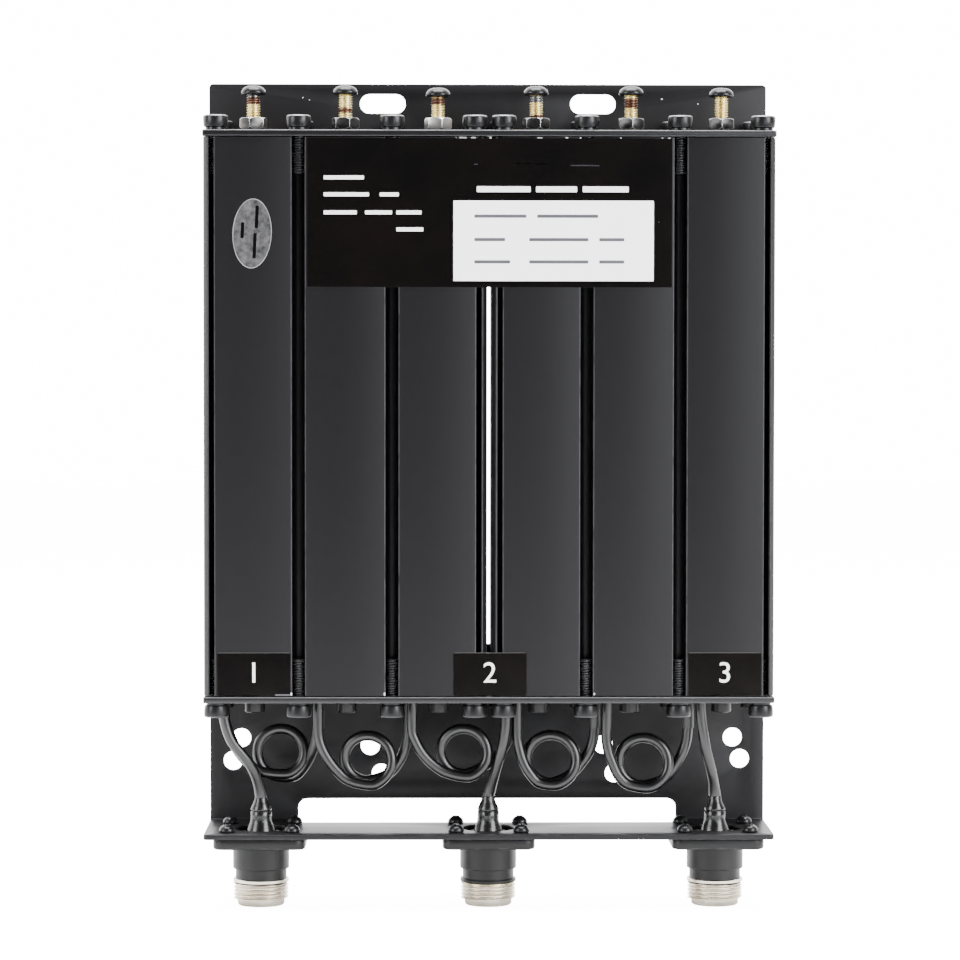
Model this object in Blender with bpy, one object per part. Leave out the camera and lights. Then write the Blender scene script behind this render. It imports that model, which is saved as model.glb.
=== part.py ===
"""RF duplexer: two three-cavity extrusions on a folded bracket that carries three coaxial sockets.

All lengths below are millimetres and are turned into metres when a mesh is made. X runs to the
right along the front, Y runs from the front to the back plate, Z runs up. The origin lies under
the middle of the model, on the plane that the three sockets stand on.
"""
import math

import bmesh
import bpy
from mathutils import Matrix, Vector

MM = 0.001

# Bracket: one folded sheet, a back plate and a shelf
BODY_WIDTH = 160.0
SHEET = 1.5
SHELF_DEPTH = 33.5
BRACKET_RISE = 15.1
BEND_RADIUS = 2.2
CORNER_RADIUS = 1.2
MOUNT_SLOT_LENGTH = 13.1
MOUNT_SLOT_WIDTH = 5.6
MOUNT_SLOT_SPACING = 60.4
MOUNT_SLOT_DROP = 5.6
LOWER_WINDOW_MARGIN = 25.4
LOWER_WINDOW_RISE = 7.6
LOWER_WINDOW_SETBACK = 7.2
LOWER_WINDOW_CORNER = 2.7
REAR_WINDOW_WIDTH = 20.0
REAR_WINDOW_MARGIN = 11.95
REAR_WINDOW_CORNER = 4.0
ROUND_HOLE = 5.5
SMALL_HOLES = ((-71.0, 23.7), (-73.4, 17.1), (-33.8, 21.4), (-30.6, 13.4),
               (33.6, 21.7), (36.8, 13.4), (71.0, 23.8), (73.1, 17.6))

# Cavity blocks: two equal extrusions, three round bores in each
CAVITY_WEB = 2.1
SIDE_WALL = 1.5
SIDE_INSET = 0.15
BLOCK_LENGTH = 155.9
BLOCK_INSET = 0.45
BLOCK_SPACING = 1.3
GROOVE_WIDTH = 3.6
GROOVE_DEPTH = 6.0
CHANNEL_INSET = 3.4
CHANNEL_SLOT = 1.45
LIP_RADIUS = 0.8

# Covers and their screws
COVER_DEPTH = 31.7
COVER_THICKNESS = 1.75
COVER_LIFT = 36.9
SCREW_DEPTH = 3.55
SCREW_HEAD = 7.0
SCREW_HEAD_HEIGHT = 4.2
SCREW_CORE = 3.0
SCREW_LENGTH = 12.0

# Resonators and the screws that hold them
ROD_DIAMETER = 8.0
ROD_HEADROOM = 16.9
ROD_SCREW_HEAD = 5.7
ROD_SCREW_HEAD_HEIGHT = 3.8
ROD_SCREW_CORE = 2.4

# Tuners: a screw, its lock nut and the disc on its inner end
TUNER_THREAD = 3.9
TUNER_HEAD = 7.1
TUNER_HEAD_HEIGHT = 2.6
TUNER_EXPOSED = 6.4
TUNER_REACH = 21.1
TUNER_SETTINGS = (0.0, 0.1, -0.5, 0.0, 0.0, -0.4)
TUNER_SHIFTS = (-0.1, -0.3, -0.2, -0.8, 0.0, -0.6)
DISC_DIAMETER = 12.0
DISC_THICKNESS = 1.5
NUT_ACROSS_FLATS = 7.0
NUT_HEIGHT = 4.0
NUT_TURNS = (16.7, 49.0, 46.0, 46.9, 32.8, 28.4)

# Sockets under the shelf
SOCKET_MARGIN = 15.5
SOCKET_SETBACK = 14.5
SOCKET_DROP = 20.2
FLANGE_WIDTH = 26.0
FLANGE_THICKNESS = 2.8
FLANGE_CORNER = 3.0
FLANGE_SCREW_SPACING = 18.3
FLANGE_SCREW_HEAD = 4.5
FLANGE_SCREW_HEAD_HEIGHT = 2.1
FLANGE_SCREW_CORE = 2.4
BARREL_DIAMETER = 16.0
BARREL_LENGTH = 6.7
NECK_DIAMETER = 14.5
NECK_LENGTH = 3.1
THREAD_DIAMETER = 15.8
SOCKET_BORE = 8.4
SOCKET_BORE_DEPTH = 9.0
INSULATOR_DIAMETER = 7.8
CONTACT_DIAMETER = 3.0
CONTACT_RECESS = 4.8
SHELF_HOLE = 15.0

# Cables and the boots that cover their lower joints, with the width their routes are drawn for
CABLE_DIAMETER = 3.0
CABLE_STEP = 4.6
ROUTE_WIDTH = 160.0
PORT_DEPTH = 12.0
PORT_HOLE = 9.4
RING_RADIUS = 6.8
BOOT_BASE = 8.5
BOOT_BAND = 6.2
BOOT_NECK = 3.8
BOOT_HEIGHTS = (10.2, 10.6, 10.6)
COUPLING_STRIP = 1.4
COUPLING_HEIGHT = 30.0
COUPLING_GAP = 0.63

# Screws from behind, through the back plate into the blocks
PLATE_SCREW_CORE = 2.5
PLATE_SCREW_REACH = 5.4
PLATE_SCREW_MARGIN = 22.7

# Labels
LABEL_THICKNESS = 0.15
LABEL_GAP = 0.05
MAIN_LABEL_WIDTH = 101.6
MAIN_LABEL_HEIGHT = 41.4
WHITE_STICKER_WIDTH = 55.8
WHITE_STICKER_HEIGHT = 22.35
WHITE_STICKER_OFFSET = (17.8, -7.8)
PORT_LABEL_WIDTH = 20.5
PORT_LABEL_HEIGHT = 12.0
PORT_LABEL_MARGIN = 14.1
PORT_LABEL_SHIFTS = (0.1, 0.2, 0.1)

# Gap between pieces that touch on the real object
CLEAR = 0.3

# Sides of the round pieces
SCREW_SIDES = 8
SHANK_SIDES = 6
HOLE_SIDES = 8
ROUND_SIDES = 10
BORE_SIDES = 16
BARREL_SIDES = 16

# Levels and planes worked out from the sizes above
SHELF_UNDERSIDE = SOCKET_DROP
SHELF_TOP = SHELF_UNDERSIDE + SHEET
BOTTOM_COVER_UNDERSIDE = SHELF_TOP + COVER_LIFT
BOTTOM_COVER_TOP = BOTTOM_COVER_UNDERSIDE + COVER_THICKNESS
BLOCK_BOTTOM = BOTTOM_COVER_TOP + CLEAR
BLOCK_TOP = BLOCK_BOTTOM + BLOCK_LENGTH
TOP_COVER_UNDERSIDE = BLOCK_TOP + CLEAR
TOP_COVER_TOP = TOP_COVER_UNDERSIDE + COVER_THICKNESS
BRACKET_TOP = TOP_COVER_TOP + BRACKET_RISE
PLATE_REAR = SHELF_DEPTH / 2
PLATE_FRONT = PLATE_REAR - SHEET
SHELF_FRONT = -SHELF_DEPTH / 2
COVER_REAR = PLATE_FRONT - CLEAR
COVER_FRONT = COVER_REAR - COVER_DEPTH
BLOCK_FRONT = COVER_FRONT + BLOCK_INSET
BLOCK_DEPTH = COVER_REAR - BLOCK_FRONT
BLOCK_HALF_WIDTH = (BODY_WIDTH / 2 - BLOCK_SPACING / 2 - SIDE_INSET) / 2
CAVITY_BORE = 2 * (BLOCK_HALF_WIDTH - CAVITY_WEB - SIDE_WALL) / 3
CAVITY_PITCH = CAVITY_BORE + CAVITY_WEB
ROD_LENGTH = BLOCK_LENGTH - ROD_HEADROOM
BLOCK_CENTRES = (-BLOCK_HALF_WIDTH - BLOCK_SPACING / 2, BLOCK_HALF_WIDTH + BLOCK_SPACING / 2)
CAVITY_X = [centre + step * CAVITY_PITCH for centre in BLOCK_CENTRES for step in (-1, 0, 1)]
CAVITY_Y = (BLOCK_FRONT + COVER_REAR) / 2
TUNER_X = [x + shift for x, shift in zip(CAVITY_X, TUNER_SHIFTS)]
SCREW_ROWS = (BLOCK_FRONT + SCREW_DEPTH, COVER_REAR - SCREW_DEPTH)
SCREW_OFFSETS = (CHANNEL_INSET - BLOCK_HALF_WIDTH, -CAVITY_PITCH / 2,
                 CAVITY_PITCH / 2, BLOCK_HALF_WIDTH - CHANNEL_INSET)
SCREW_X = [centre + offset for centre in BLOCK_CENTRES for offset in SCREW_OFFSETS]
PORT_OFFSET = CAVITY_BORE / 3
PORT_X = [x - PORT_OFFSET for x in CAVITY_X]
PORT_Y = COVER_FRONT + PORT_DEPTH
SOCKET_X = [side * (BODY_WIDTH / 2 - SOCKET_MARGIN) for side in (-1, 0, 1)]
SOCKET_Y = COVER_FRONT + SOCKET_SETBACK
SOCKET_NAMES = ("low_band", "antenna", "high_band")
FLANGE_TOP = SHELF_UNDERSIDE - CLEAR
FLANGE_UNDERSIDE = FLANGE_TOP - FLANGE_THICKNESS
BOOT_BOTTOM = FLANGE_TOP + CLEAR
CABLE_TOP = COVER_LIFT + COVER_THICKNESS - CLEAR
ROUTE_SCALE = BODY_WIDTH / ROUTE_WIDTH


def remove_old_objects():
    """Empty the scene, so that a second run starts from nothing."""
    for old in list(bpy.data.objects):
        bpy.data.objects.remove(old, do_unlink=True)


def material(name, colour, roughness, metallic=0.0):
    """A Principled material of one plain colour."""
    made = bpy.data.materials.new(name)
    made.use_nodes = True
    shader = made.node_tree.nodes["Principled BSDF"]
    shader.inputs["Base Color"].default_value = (*colour, 1.0)
    shader.inputs["Roughness"].default_value = roughness
    shader.inputs["Metallic"].default_value = metallic
    made.diffuse_color = (*colour, 1.0)
    return made


def add_object(name, shape, finish, place=(0.0, 0.0, 0.0)):
    """Turn a bmesh in millimetres into an object in metres."""
    bmesh.ops.remove_doubles(shape, verts=shape.verts, dist=0.001)
    bmesh.ops.recalc_face_normals(shape, faces=shape.faces)
    bmesh.ops.scale(shape, vec=(MM, MM, MM), verts=shape.verts)
    mesh = bpy.data.meshes.new(name)
    shape.to_mesh(mesh)
    shape.free()
    mesh.shade_smooth()
    mesh.set_sharp_from_angle(angle=math.radians(40))
    mesh.materials.append(finish)
    made = bpy.data.objects.new(name, mesh)
    made.location = Vector(place) * MM
    bpy.context.scene.collection.objects.link(made)
    return made


def circle(centre, diameter, sides, turn=0.0):
    """Points round a circle, the first one at the angle turn."""
    angles = [turn + math.tau * step / sides for step in range(sides)]
    radius = diameter / 2
    return [(centre[0] + radius * math.cos(a), centre[1] + radius * math.sin(a)) for a in angles]


def hole(centre, diameter, sides=HOLE_SIDES):
    """A polygon whose flats, not its corners, lie on the circle, so that the full bore is clear."""
    return circle(centre, diameter / math.cos(math.pi / sides), sides, math.pi / sides)


def arc(centre, radius, start, end, steps):
    """Points along an arc, from one angle to another in degrees."""
    angles = [math.radians(start + (end - start) * step / steps) for step in range(steps + 1)]
    return [(centre[0] + radius * math.cos(a), centre[1] + radius * math.sin(a)) for a in angles]


def rounded_rectangle(centre, width, height, radius, steps=2):
    """A rectangle with round corners, anticlockwise."""
    right, top = width / 2 - radius, height / 2 - radius
    corners = ((right, top, 0), (-right, top, 90), (-right, -top, 180), (right, -top, 270))
    points = []
    for x, y, angle in corners:
        points += arc((centre[0] + x, centre[1] + y), radius, angle, angle + 90, steps)
    return points


def outline_edges(shape, loop, level):
    """Draw one closed outline in the plane at a level."""
    points = [shape.verts.new((x, y, level)) for x, y in loop]
    return [shape.edges.new((a, b)) for a, b in zip(points, points[1:] + points[:1])]


def fill_outlines(shape, loops, level):
    """Fill the area between an outer outline and the holes in it."""
    edges = []
    for loop in loops:
        edges += outline_edges(shape, loop, level)
    bmesh.ops.triangle_fill(shape, use_beauty=True, edges=edges, normal=(0, 0, 1))


def walls(shape, loop, low, high):
    """The upright wall along one outline."""
    edges = outline_edges(shape, loop, low)
    raised = bmesh.ops.extrude_edge_only(shape, edges=edges)
    points = [item for item in raised["geom"] if isinstance(item, bmesh.types.BMVert)]
    bmesh.ops.translate(shape, vec=(0, 0, high - low), verts=points)


def prism(shape, outline, holes, low, high, turn=Matrix.Identity(4)):
    """An outline with holes, raised from one level to another."""
    old = set(shape.verts)
    for level in (low, high):
        fill_outlines(shape, [outline, *holes], level)
    for loop in (outline, *holes):
        walls(shape, loop, low, high)
    new = [point for point in shape.verts if point not in old]
    bmesh.ops.transform(shape, matrix=turn, verts=new)


def turned(shape, profile, sides, place=(0.0, 0.0, 0.0), closed=False, cap=True):
    """Spin a profile of (radius, height) points about an upright axis."""
    old = set(shape.verts)
    points = [shape.verts.new((radius, 0, height)) for radius, height in profile]
    pairs = list(zip(points, points[1:]))
    if closed:
        pairs.append((points[-1], points[0]))
    edges = [shape.edges.new(pair) for pair in pairs]
    bmesh.ops.spin(shape, geom=points + edges, cent=(0, 0, 0), axis=(0, 0, 1),
                   angle=math.tau, steps=sides, use_merge=True)
    new = [point for point in shape.verts if point not in old]
    if cap and not closed:
        rims = {edge for point in new for edge in point.link_edges if len(edge.link_faces) == 1}
        bmesh.ops.holes_fill(shape, edges=list(rims), sides=sides)
    bmesh.ops.translate(shape, vec=place, verts=new)
    return new


FACE_FORWARD = Matrix.Rotation(math.radians(90), 4, "X")
ALONG_X = Matrix(((0, 0, 1, 0), (1, 0, 0, 0), (0, 1, 0, 0), (0, 0, 0, 1)))


def front_plate(shape, outline, holes, front, thickness):
    """A plate that stands upright, drawn in X and Z, with its front at a given Y."""
    prism(shape, outline, holes, -front - thickness, -front, FACE_FORWARD)


def smooth_route(points, step):
    """Read evenly spaced points from a smooth curve through the given ones."""
    points = [Vector(point) for point in points]
    ends = [2 * points[0] - points[1], *points, 2 * points[-1] - points[-2]]
    fine = []
    for before, start, end, after in zip(ends, ends[1:], ends[2:], ends[3:]):
        for part in range(12):
            t = part / 12
            fine.append(0.5 * (2 * start + (end - before) * t
                               + (2 * before - 5 * start + 4 * end - after) * t ** 2
                               + (3 * start - before - 3 * end + after) * t ** 3))
    fine.append(points[-1])
    lengths = [0.0]
    for start, end in zip(fine, fine[1:]):
        lengths.append(lengths[-1] + (end - start).length)
    count = max(2, round(lengths[-1] / step))
    even, index = [], 0
    for number in range(count + 1):
        target = lengths[-1] * number / count
        while index < len(lengths) - 2 and lengths[index + 1] < target:
            index += 1
        share = (target - lengths[index]) / (lengths[index + 1] - lengths[index])
        even.append(fine[index].lerp(fine[index + 1], share))
    return even


def cable(name, route, finish, square_end=False):
    """A round cable along a route of (x, depth, height) points.

    The depth counts from the covers' front, and the height from the shelf's top.
    The route is drawn for the width ROUTE_WIDTH and follows the body's width. A square end is cut
    level, with a short upright stretch above it.
    """
    points = [(x * ROUTE_SCALE, COVER_FRONT + depth, SHELF_TOP + height)
              for x, depth, height in route]
    curve = bpy.data.curves.new(name, "CURVE")
    curve.dimensions = "3D"
    curve.bevel_depth = CABLE_DIAMETER / 2 * MM
    curve.bevel_resolution = 2
    curve.use_fill_caps = True
    even = smooth_route(points, CABLE_STEP)
    if square_end:
        even.insert(-1, even[-1] + Vector((0, 0, CLEAR)))
    spline = curve.splines.new("POLY")
    spline.points.add(len(even) - 1)
    for point, place in zip(spline.points, even):
        point.co = (*(place * MM), 1.0)
    curve.materials.append(finish)
    made = bpy.data.objects.new(name, curve)
    bpy.context.scene.collection.objects.link(made)


def hidden_tool(name, shape, finish):
    """A cutter: a solid that is only subtracted from others."""
    tool = add_object(name, shape, finish)
    tool.hide_render = True
    tool.display_type = "WIRE"
    return tool


def bracket(finish):
    """The folded sheet: back plate, shelf and the bend between them."""
    inner = BEND_RADIUS - SHEET
    bend = (PLATE_REAR - BEND_RADIUS, SHELF_UNDERSIDE + BEND_RADIUS)
    section = [(SHELF_FRONT, SHELF_UNDERSIDE), *arc(bend, BEND_RADIUS, 270, 360, 4),
               (PLATE_REAR, BRACKET_TOP), (PLATE_FRONT, BRACKET_TOP),
               *arc(bend, inner, 360, 270, 4), (SHELF_FRONT, SHELF_TOP)]
    shape = bmesh.new()
    prism(shape, section, [], -BODY_WIDTH / 2, BODY_WIDTH / 2, ALONG_X)
    bmesh.ops.remove_doubles(shape, verts=shape.verts, dist=0.001)
    corners = []
    for edge in shape.edges:
        a, b = (point.co for point in edge.verts)
        on_side = abs(abs(a.x) - BODY_WIDTH / 2) < 0.01 and abs(a.x - b.x) < 0.01
        at_top = min(a.z, b.z) > BRACKET_TOP - 0.01
        at_front = max(a.y, b.y) < SHELF_FRONT + 0.01
        if on_side and (at_top or at_front):
            corners.append(edge)
    bmesh.ops.bevel(shape, geom=corners, offset=CORNER_RADIUS, offset_type="OFFSET", segments=2,
                    profile=0.5, affect="EDGES", material=-1)
    plate = add_object("bracket", shape, finish)
    cut = plate.modifiers.new("cut_outs", "BOOLEAN")
    cut.operation = "DIFFERENCE"
    cut.object = hidden_tool("bracket_cutter", bracket_cuts(), finish)
    add = plate.modifiers.new("plate_screws", "BOOLEAN")
    add.operation = "UNION"
    add.object = hidden_tool("plate_screw_shanks", plate_screw_shanks(), finish)


def bracket_cuts():
    """Everything that is punched out of the bracket."""
    margin = 1.0
    through = (PLATE_FRONT - margin, SHEET + 2 * margin)
    shape = bmesh.new()
    slot_level = BRACKET_TOP - MOUNT_SLOT_DROP
    for side in (-1, 1):
        centre = (side * MOUNT_SLOT_SPACING / 2, slot_level)
        front_plate(shape, rounded_rectangle(centre, MOUNT_SLOT_LENGTH, MOUNT_SLOT_WIDTH,
                                             MOUNT_SLOT_WIDTH / 2 - 0.01, 3), [], *through)
    for x, rise in SMALL_HOLES:
        centre = (x * ROUTE_SCALE, SHELF_TOP + rise)
        front_plate(shape, circle(centre, ROUND_HOLE, ROUND_SIDES), [], *through)
    middle = (BLOCK_BOTTOM + BLOCK_TOP) / 2
    front_plate(shape, rounded_rectangle((0, middle), REAR_WINDOW_WIDTH,
                                         BLOCK_LENGTH - 2 * REAR_WINDOW_MARGIN,
                                         REAR_WINDOW_CORNER), [], *through)
    window_top = SHELF_UNDERSIDE + LOWER_WINDOW_RISE
    window_bottom = SHELF_UNDERSIDE - margin - LOWER_WINDOW_CORNER
    window_centre = (0, (window_top + window_bottom) / 2)
    window_front = PLATE_REAR - LOWER_WINDOW_SETBACK
    window_width = BODY_WIDTH - 2 * LOWER_WINDOW_MARGIN
    front_plate(shape, rounded_rectangle(window_centre, window_width,
                                         window_top - window_bottom, LOWER_WINDOW_CORNER),
                [], window_front, LOWER_WINDOW_SETBACK + margin)
    for x in SOCKET_X:
        low, high = SHELF_UNDERSIDE - margin, SHELF_TOP + margin
        prism(shape, circle((x, SOCKET_Y), SHELF_HOLE, ROUND_SIDES), [], low, high)
        for place in flange_screw_places(x):
            prism(shape, hole(place, FLANGE_SCREW_CORE + 2 * CLEAR), [], low, high)
    return shape


def plate_screw_shanks():
    """The shanks of the flat-head screws that reach from the back plate into the blocks."""
    shape = bmesh.new()
    for x, z in plate_screw_places():
        front_plate(shape, circle((x, z), PLATE_SCREW_CORE, SCREW_SIDES), [],
                    PLATE_FRONT - PLATE_SCREW_REACH, PLATE_SCREW_REACH + SHEET / 2)
    return shape


def plate_screw_places():
    """Where the screws pass through the back plate, as (x, z)."""
    middle = (BLOCK_BOTTOM + BLOCK_TOP) / 2
    side = BLOCK_CENTRES[1] + CAVITY_PITCH / 2
    rise = BLOCK_LENGTH / 2 - PLATE_SCREW_MARGIN
    return [(x, middle + level * rise) for x in (-side, side) for level in (-1, 1)]


def flange_screw_places(x):
    """The four screw places round one socket."""
    half = FLANGE_SCREW_SPACING / 2
    return [(x + a * half, SOCKET_Y + b * half) for a in (-1, 1) for b in (-1, 1)]


def block_section(centre):
    """The outline of one extrusion, with its screw grooves and its two end channels."""
    radius = GROOVE_WIDTH / 2
    floor = GROOVE_DEPTH - radius
    slot_start = CHANNEL_INSET - radius
    slot_end = slot_start + CHANNEL_SLOT
    meet = math.degrees(math.acos((slot_end - CHANNEL_INSET) / radius))
    half = BLOCK_HALF_WIDTH
    left = [*arc((LIP_RADIUS - half, LIP_RADIUS), LIP_RADIUS, 180, 270, 2), (-half + slot_start, 0),
            *[(x - half, y) for x, y in arc((CHANNEL_INSET, SCREW_DEPTH), radius, 180, -meet, 7)],
            (-half + slot_end, 0)]
    groove = []
    for side in (-1, 1):
        x = side * CAVITY_PITCH / 2
        groove += [(x - radius, 0), *arc((x, floor), radius, 180, 0, 4), (x + radius, 0)]
    right = [(-x, y) for x, y in reversed(left)]
    front = left + groove + right
    rear = [(x, BLOCK_DEPTH - y) for x, y in reversed(front)]
    return [(centre + x, BLOCK_FRONT + y) for x, y in front + rear]


def cavity_block(name, centre, finish):
    """One extrusion: three round bores behind grooved faces."""
    shape = bmesh.new()
    bores = [circle((centre + step * CAVITY_PITCH, CAVITY_Y), CAVITY_BORE, BORE_SIDES)
             for step in (-1, 0, 1)]
    prism(shape, block_section(centre), bores, BLOCK_BOTTOM, BLOCK_TOP)
    add_object(name, shape, finish)


def stud(shape, x, y, level, radius, end, sides, head=None):
    """A round stub that stands on a face at one level; head gives its own radius and start."""
    profile = [(radius, level), (radius, end)]
    if head:
        head_radius, head_start = head
        profile[1:] = [(radius, head_start), (head_radius, head_start), (head_radius, end)]
    new = turned(shape, profile, sides, (x, y, 0), cap=False)
    rim = [point for point in new if abs(point.co.z - end) < 0.001]
    bmesh.ops.contextual_create(shape, geom=rim)


def cover(name, underside, holes, screws_up, finish):
    """A cover plate with its sixteen screws, whose shanks run into the grooves of the blocks."""
    top = underside + COVER_THICKNESS
    half_depth = COVER_DEPTH / 2
    outline = rounded_rectangle((0, COVER_FRONT + half_depth), BODY_WIDTH, COVER_DEPTH, 0.5, 1)
    places = [(x, y) for x in SCREW_X for y in SCREW_ROWS]
    heads = [circle(place, SCREW_HEAD, SCREW_SIDES) for place in places]
    cores = [circle(place, SCREW_CORE, SHANK_SIDES) for place in places]
    shape = bmesh.new()
    fill_outlines(shape, [outline, *holes, *(heads if screws_up else cores)], top)
    fill_outlines(shape, [outline, *holes, *(cores if screws_up else heads)], underside)
    for loop in (outline, *holes):
        walls(shape, loop, underside, top)
    for place in places:
        if screws_up:
            stud(shape, *place, top, SCREW_HEAD / 2, top + SCREW_HEAD_HEIGHT, SCREW_SIDES)
            stud(shape, *place, underside, SCREW_CORE / 2, top - SCREW_LENGTH, SHANK_SIDES)
        else:
            head_end = underside - SCREW_HEAD_HEIGHT
            stud(shape, *place, underside, SCREW_HEAD / 2, head_end, SCREW_SIDES)
            stud(shape, *place, top, SCREW_CORE / 2, underside + SCREW_LENGTH, SHANK_SIDES)
    add_object(name, shape, finish)


def resonators(finish):
    """Six rods on the bottom cover, each with the screw that holds it from below."""
    foot = BOTTOM_COVER_TOP + CLEAR
    seat = BOTTOM_COVER_UNDERSIDE - CLEAR - foot
    profile = [(ROD_SCREW_HEAD / 2, seat - ROD_SCREW_HEAD_HEIGHT), (ROD_SCREW_HEAD / 2, seat),
               (ROD_SCREW_CORE / 2, seat), (ROD_SCREW_CORE / 2, 0), (ROD_DIAMETER / 2, 0),
               (ROD_DIAMETER / 2, ROD_LENGTH)]
    for number, x in enumerate(CAVITY_X, start=1):
        shape = bmesh.new()
        turned(shape, profile, SCREW_SIDES)
        add_object(f"resonator_rod_{number}", shape, finish, (x, CAVITY_Y, foot))


def tuners(brass, disc_finish, nut_finish):
    """Six tuning screws with the discs on their inner ends and the nuts that lock them."""
    seat = TOP_COVER_TOP + CLEAR
    head_underside = seat + NUT_HEIGHT + TUNER_EXPOSED
    dome = [(TUNER_HEAD / 2 * math.cos(math.radians(a)),
             0.5 + (TUNER_HEAD_HEIGHT - 0.5) * math.sin(math.radians(a))) for a in (0, 40, 70)]
    for number, x in enumerate(TUNER_X, start=1):
        level = head_underside + TUNER_SETTINGS[number - 1]
        shape = bmesh.new()
        turned(shape, [(TUNER_THREAD / 2, -TUNER_REACH), (TUNER_THREAD / 2, 0),
                       (TUNER_HEAD / 2 - 0.3, 0), *dome], SCREW_SIDES)
        add_object(f"tuning_screw_{number}", shape, brass, (x, CAVITY_Y, level))
        shape = bmesh.new()
        prism(shape, circle((0, 0), DISC_DIAMETER, ROUND_SIDES), [], -DISC_THICKNESS, 0)
        add_object(f"tuning_disc_{number}", shape, disc_finish,
                   (x, CAVITY_Y, level - TUNER_REACH - CLEAR))
        shape = bmesh.new()
        turn = math.radians(NUT_TURNS[number - 1])
        prism(shape, circle((0, 0), NUT_ACROSS_FLATS / math.cos(math.pi / 6), 6, turn),
              [hole((0, 0), TUNER_THREAD + 2 * CLEAR)], 0, NUT_HEIGHT)
        add_object(f"lock_nut_{number}", shape, nut_finish, (x, CAVITY_Y, seat))


def coupling_loops(finish):
    """Six bent strips, one above each cable port, that couple the cables to the cavities."""
    foot = BOTTOM_COVER_TOP + CLEAR
    reach, side = CAVITY_BORE / 2 - COUPLING_GAP, PORT_OFFSET + COUPLING_STRIP / 2
    outer = math.sqrt(reach ** 2 - side ** 2) - (CAVITY_Y - PORT_Y)
    inner = outer - COUPLING_STRIP
    top = foot + COUPLING_HEIGHT - outer
    outline = [(outer, foot), *arc((0, top), outer, 0, 180, 4), (-outer, foot), (-inner, foot),
               *arc((0, top), inner, 180, 0, 2), (inner, foot)]
    for number, x in enumerate(PORT_X, start=1):
        shape = bmesh.new()
        prism(shape, outline, [], -COUPLING_STRIP / 2, COUPLING_STRIP / 2, ALONG_X)
        add_object(f"coupling_loop_{number}", shape, finish, (x, PORT_Y, 0))


def socket_body(name, x, finish):
    """A panel socket: square flange on top, stepped barrel and threaded nose below."""
    barrel_end = FLANGE_UNDERSIDE - BARREL_LENGTH
    neck_end = barrel_end - NECK_LENGTH
    bore_end = SOCKET_BORE_DEPTH
    rear_bore = CONTACT_DIAMETER / 2 + 2 * CLEAR
    shape = bmesh.new()
    profile = [(BARREL_DIAMETER / 2, FLANGE_UNDERSIDE), (BARREL_DIAMETER / 2, barrel_end),
               (NECK_DIAMETER / 2, barrel_end), (NECK_DIAMETER / 2, neck_end),
               (THREAD_DIAMETER / 2, neck_end), (THREAD_DIAMETER / 2, 0.5),
               (THREAD_DIAMETER / 2 - 0.5, 0), (SOCKET_BORE / 2, 0),
               (SOCKET_BORE / 2, bore_end), (rear_bore, bore_end), (rear_bore, FLANGE_TOP)]
    turned(shape, profile, BARREL_SIDES, (x, SOCKET_Y, 0), cap=False)
    outline = rounded_rectangle((x, SOCKET_Y), FLANGE_WIDTH, FLANGE_WIDTH, FLANGE_CORNER)
    centre = (x, SOCKET_Y)
    places = flange_screw_places(x)
    screws = [circle(place, FLANGE_SCREW_CORE, SCREW_SIDES) for place in places]
    fill_outlines(shape, [outline, *screws, circle(centre, 2 * rear_bore, BARREL_SIDES)],
                  FLANGE_TOP)
    fill_outlines(shape, [outline, circle(centre, BARREL_DIAMETER, BARREL_SIDES)],
                  FLANGE_UNDERSIDE)
    walls(shape, outline, FLANGE_UNDERSIDE, FLANGE_TOP)
    seat = SHELF_TOP + CLEAR
    for place in places:
        stud(shape, *place, FLANGE_TOP, FLANGE_SCREW_CORE / 2, seat + FLANGE_SCREW_HEAD_HEIGHT,
             SCREW_SIDES, (FLANGE_SCREW_HEAD / 2, seat))
    add_object(name, shape, finish)


def socket_inner_pieces(name, x, insulator_finish, contact_finish):
    """The white insulator and the gilded centre contact of one socket."""
    inner = CONTACT_DIAMETER / 2 + CLEAR
    top = SOCKET_BORE_DEPTH - CLEAR
    bottom = CONTACT_RECESS + 1.0
    shape = bmesh.new()
    turned(shape, [(inner, bottom), (INSULATOR_DIAMETER / 2, bottom),
                   (INSULATOR_DIAMETER / 2, top), (inner, top)], SCREW_SIDES, closed=True)
    add_object(f"{name}_insulator", shape, insulator_finish, (x, SOCKET_Y, 0))
    shape = bmesh.new()
    turned(shape, [(CONTACT_DIAMETER / 2 - CLEAR / 2, CONTACT_RECESS),
                   (CONTACT_DIAMETER / 2 - CLEAR / 2, FLANGE_TOP)], SCREW_SIDES)
    add_object(f"{name}_contact", shape, contact_finish, (x, SOCKET_Y, 0))


def boots(finish):
    """Shrunk boots over the soldered ends of the three leads."""
    for index, (name, x) in enumerate(zip(SOCKET_NAMES, SOCKET_X)):
        height = BOOT_HEIGHTS[index]
        profile = [(BOOT_BASE / 2, 0), (BOOT_BASE / 2 - 0.1, 1.2), (BOOT_BAND / 2, 4.4),
                   (BOOT_BAND / 2, 7.1), (BOOT_NECK / 2 + 0.1, height - 0.8),
                   (BOOT_NECK / 2, height)]
        shape = bmesh.new()
        turned(shape, profile, ROUND_SIDES, (x, SOCKET_Y, BOOT_BOTTOM))
        add_object(f"{name}_boot", shape, finish)


def ring(centre, start_depth, end_depth, start_radius=RING_RADIUS, end_radius=RING_RADIUS):
    """One turn of a loop, from its lowest point round to the right and back."""
    points = []
    for step in range(13):
        share = step / 12
        angle = math.radians(-80 + 355 * share)
        radius = start_radius + (end_radius - start_radius) * share
        back = min(1.0, share * 1.4)
        points.append((centre[0] + radius * math.cos(angle),
                       start_depth + (end_depth - start_depth) * back,
                       centre[1] + radius * math.sin(angle)))
    return points


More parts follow.
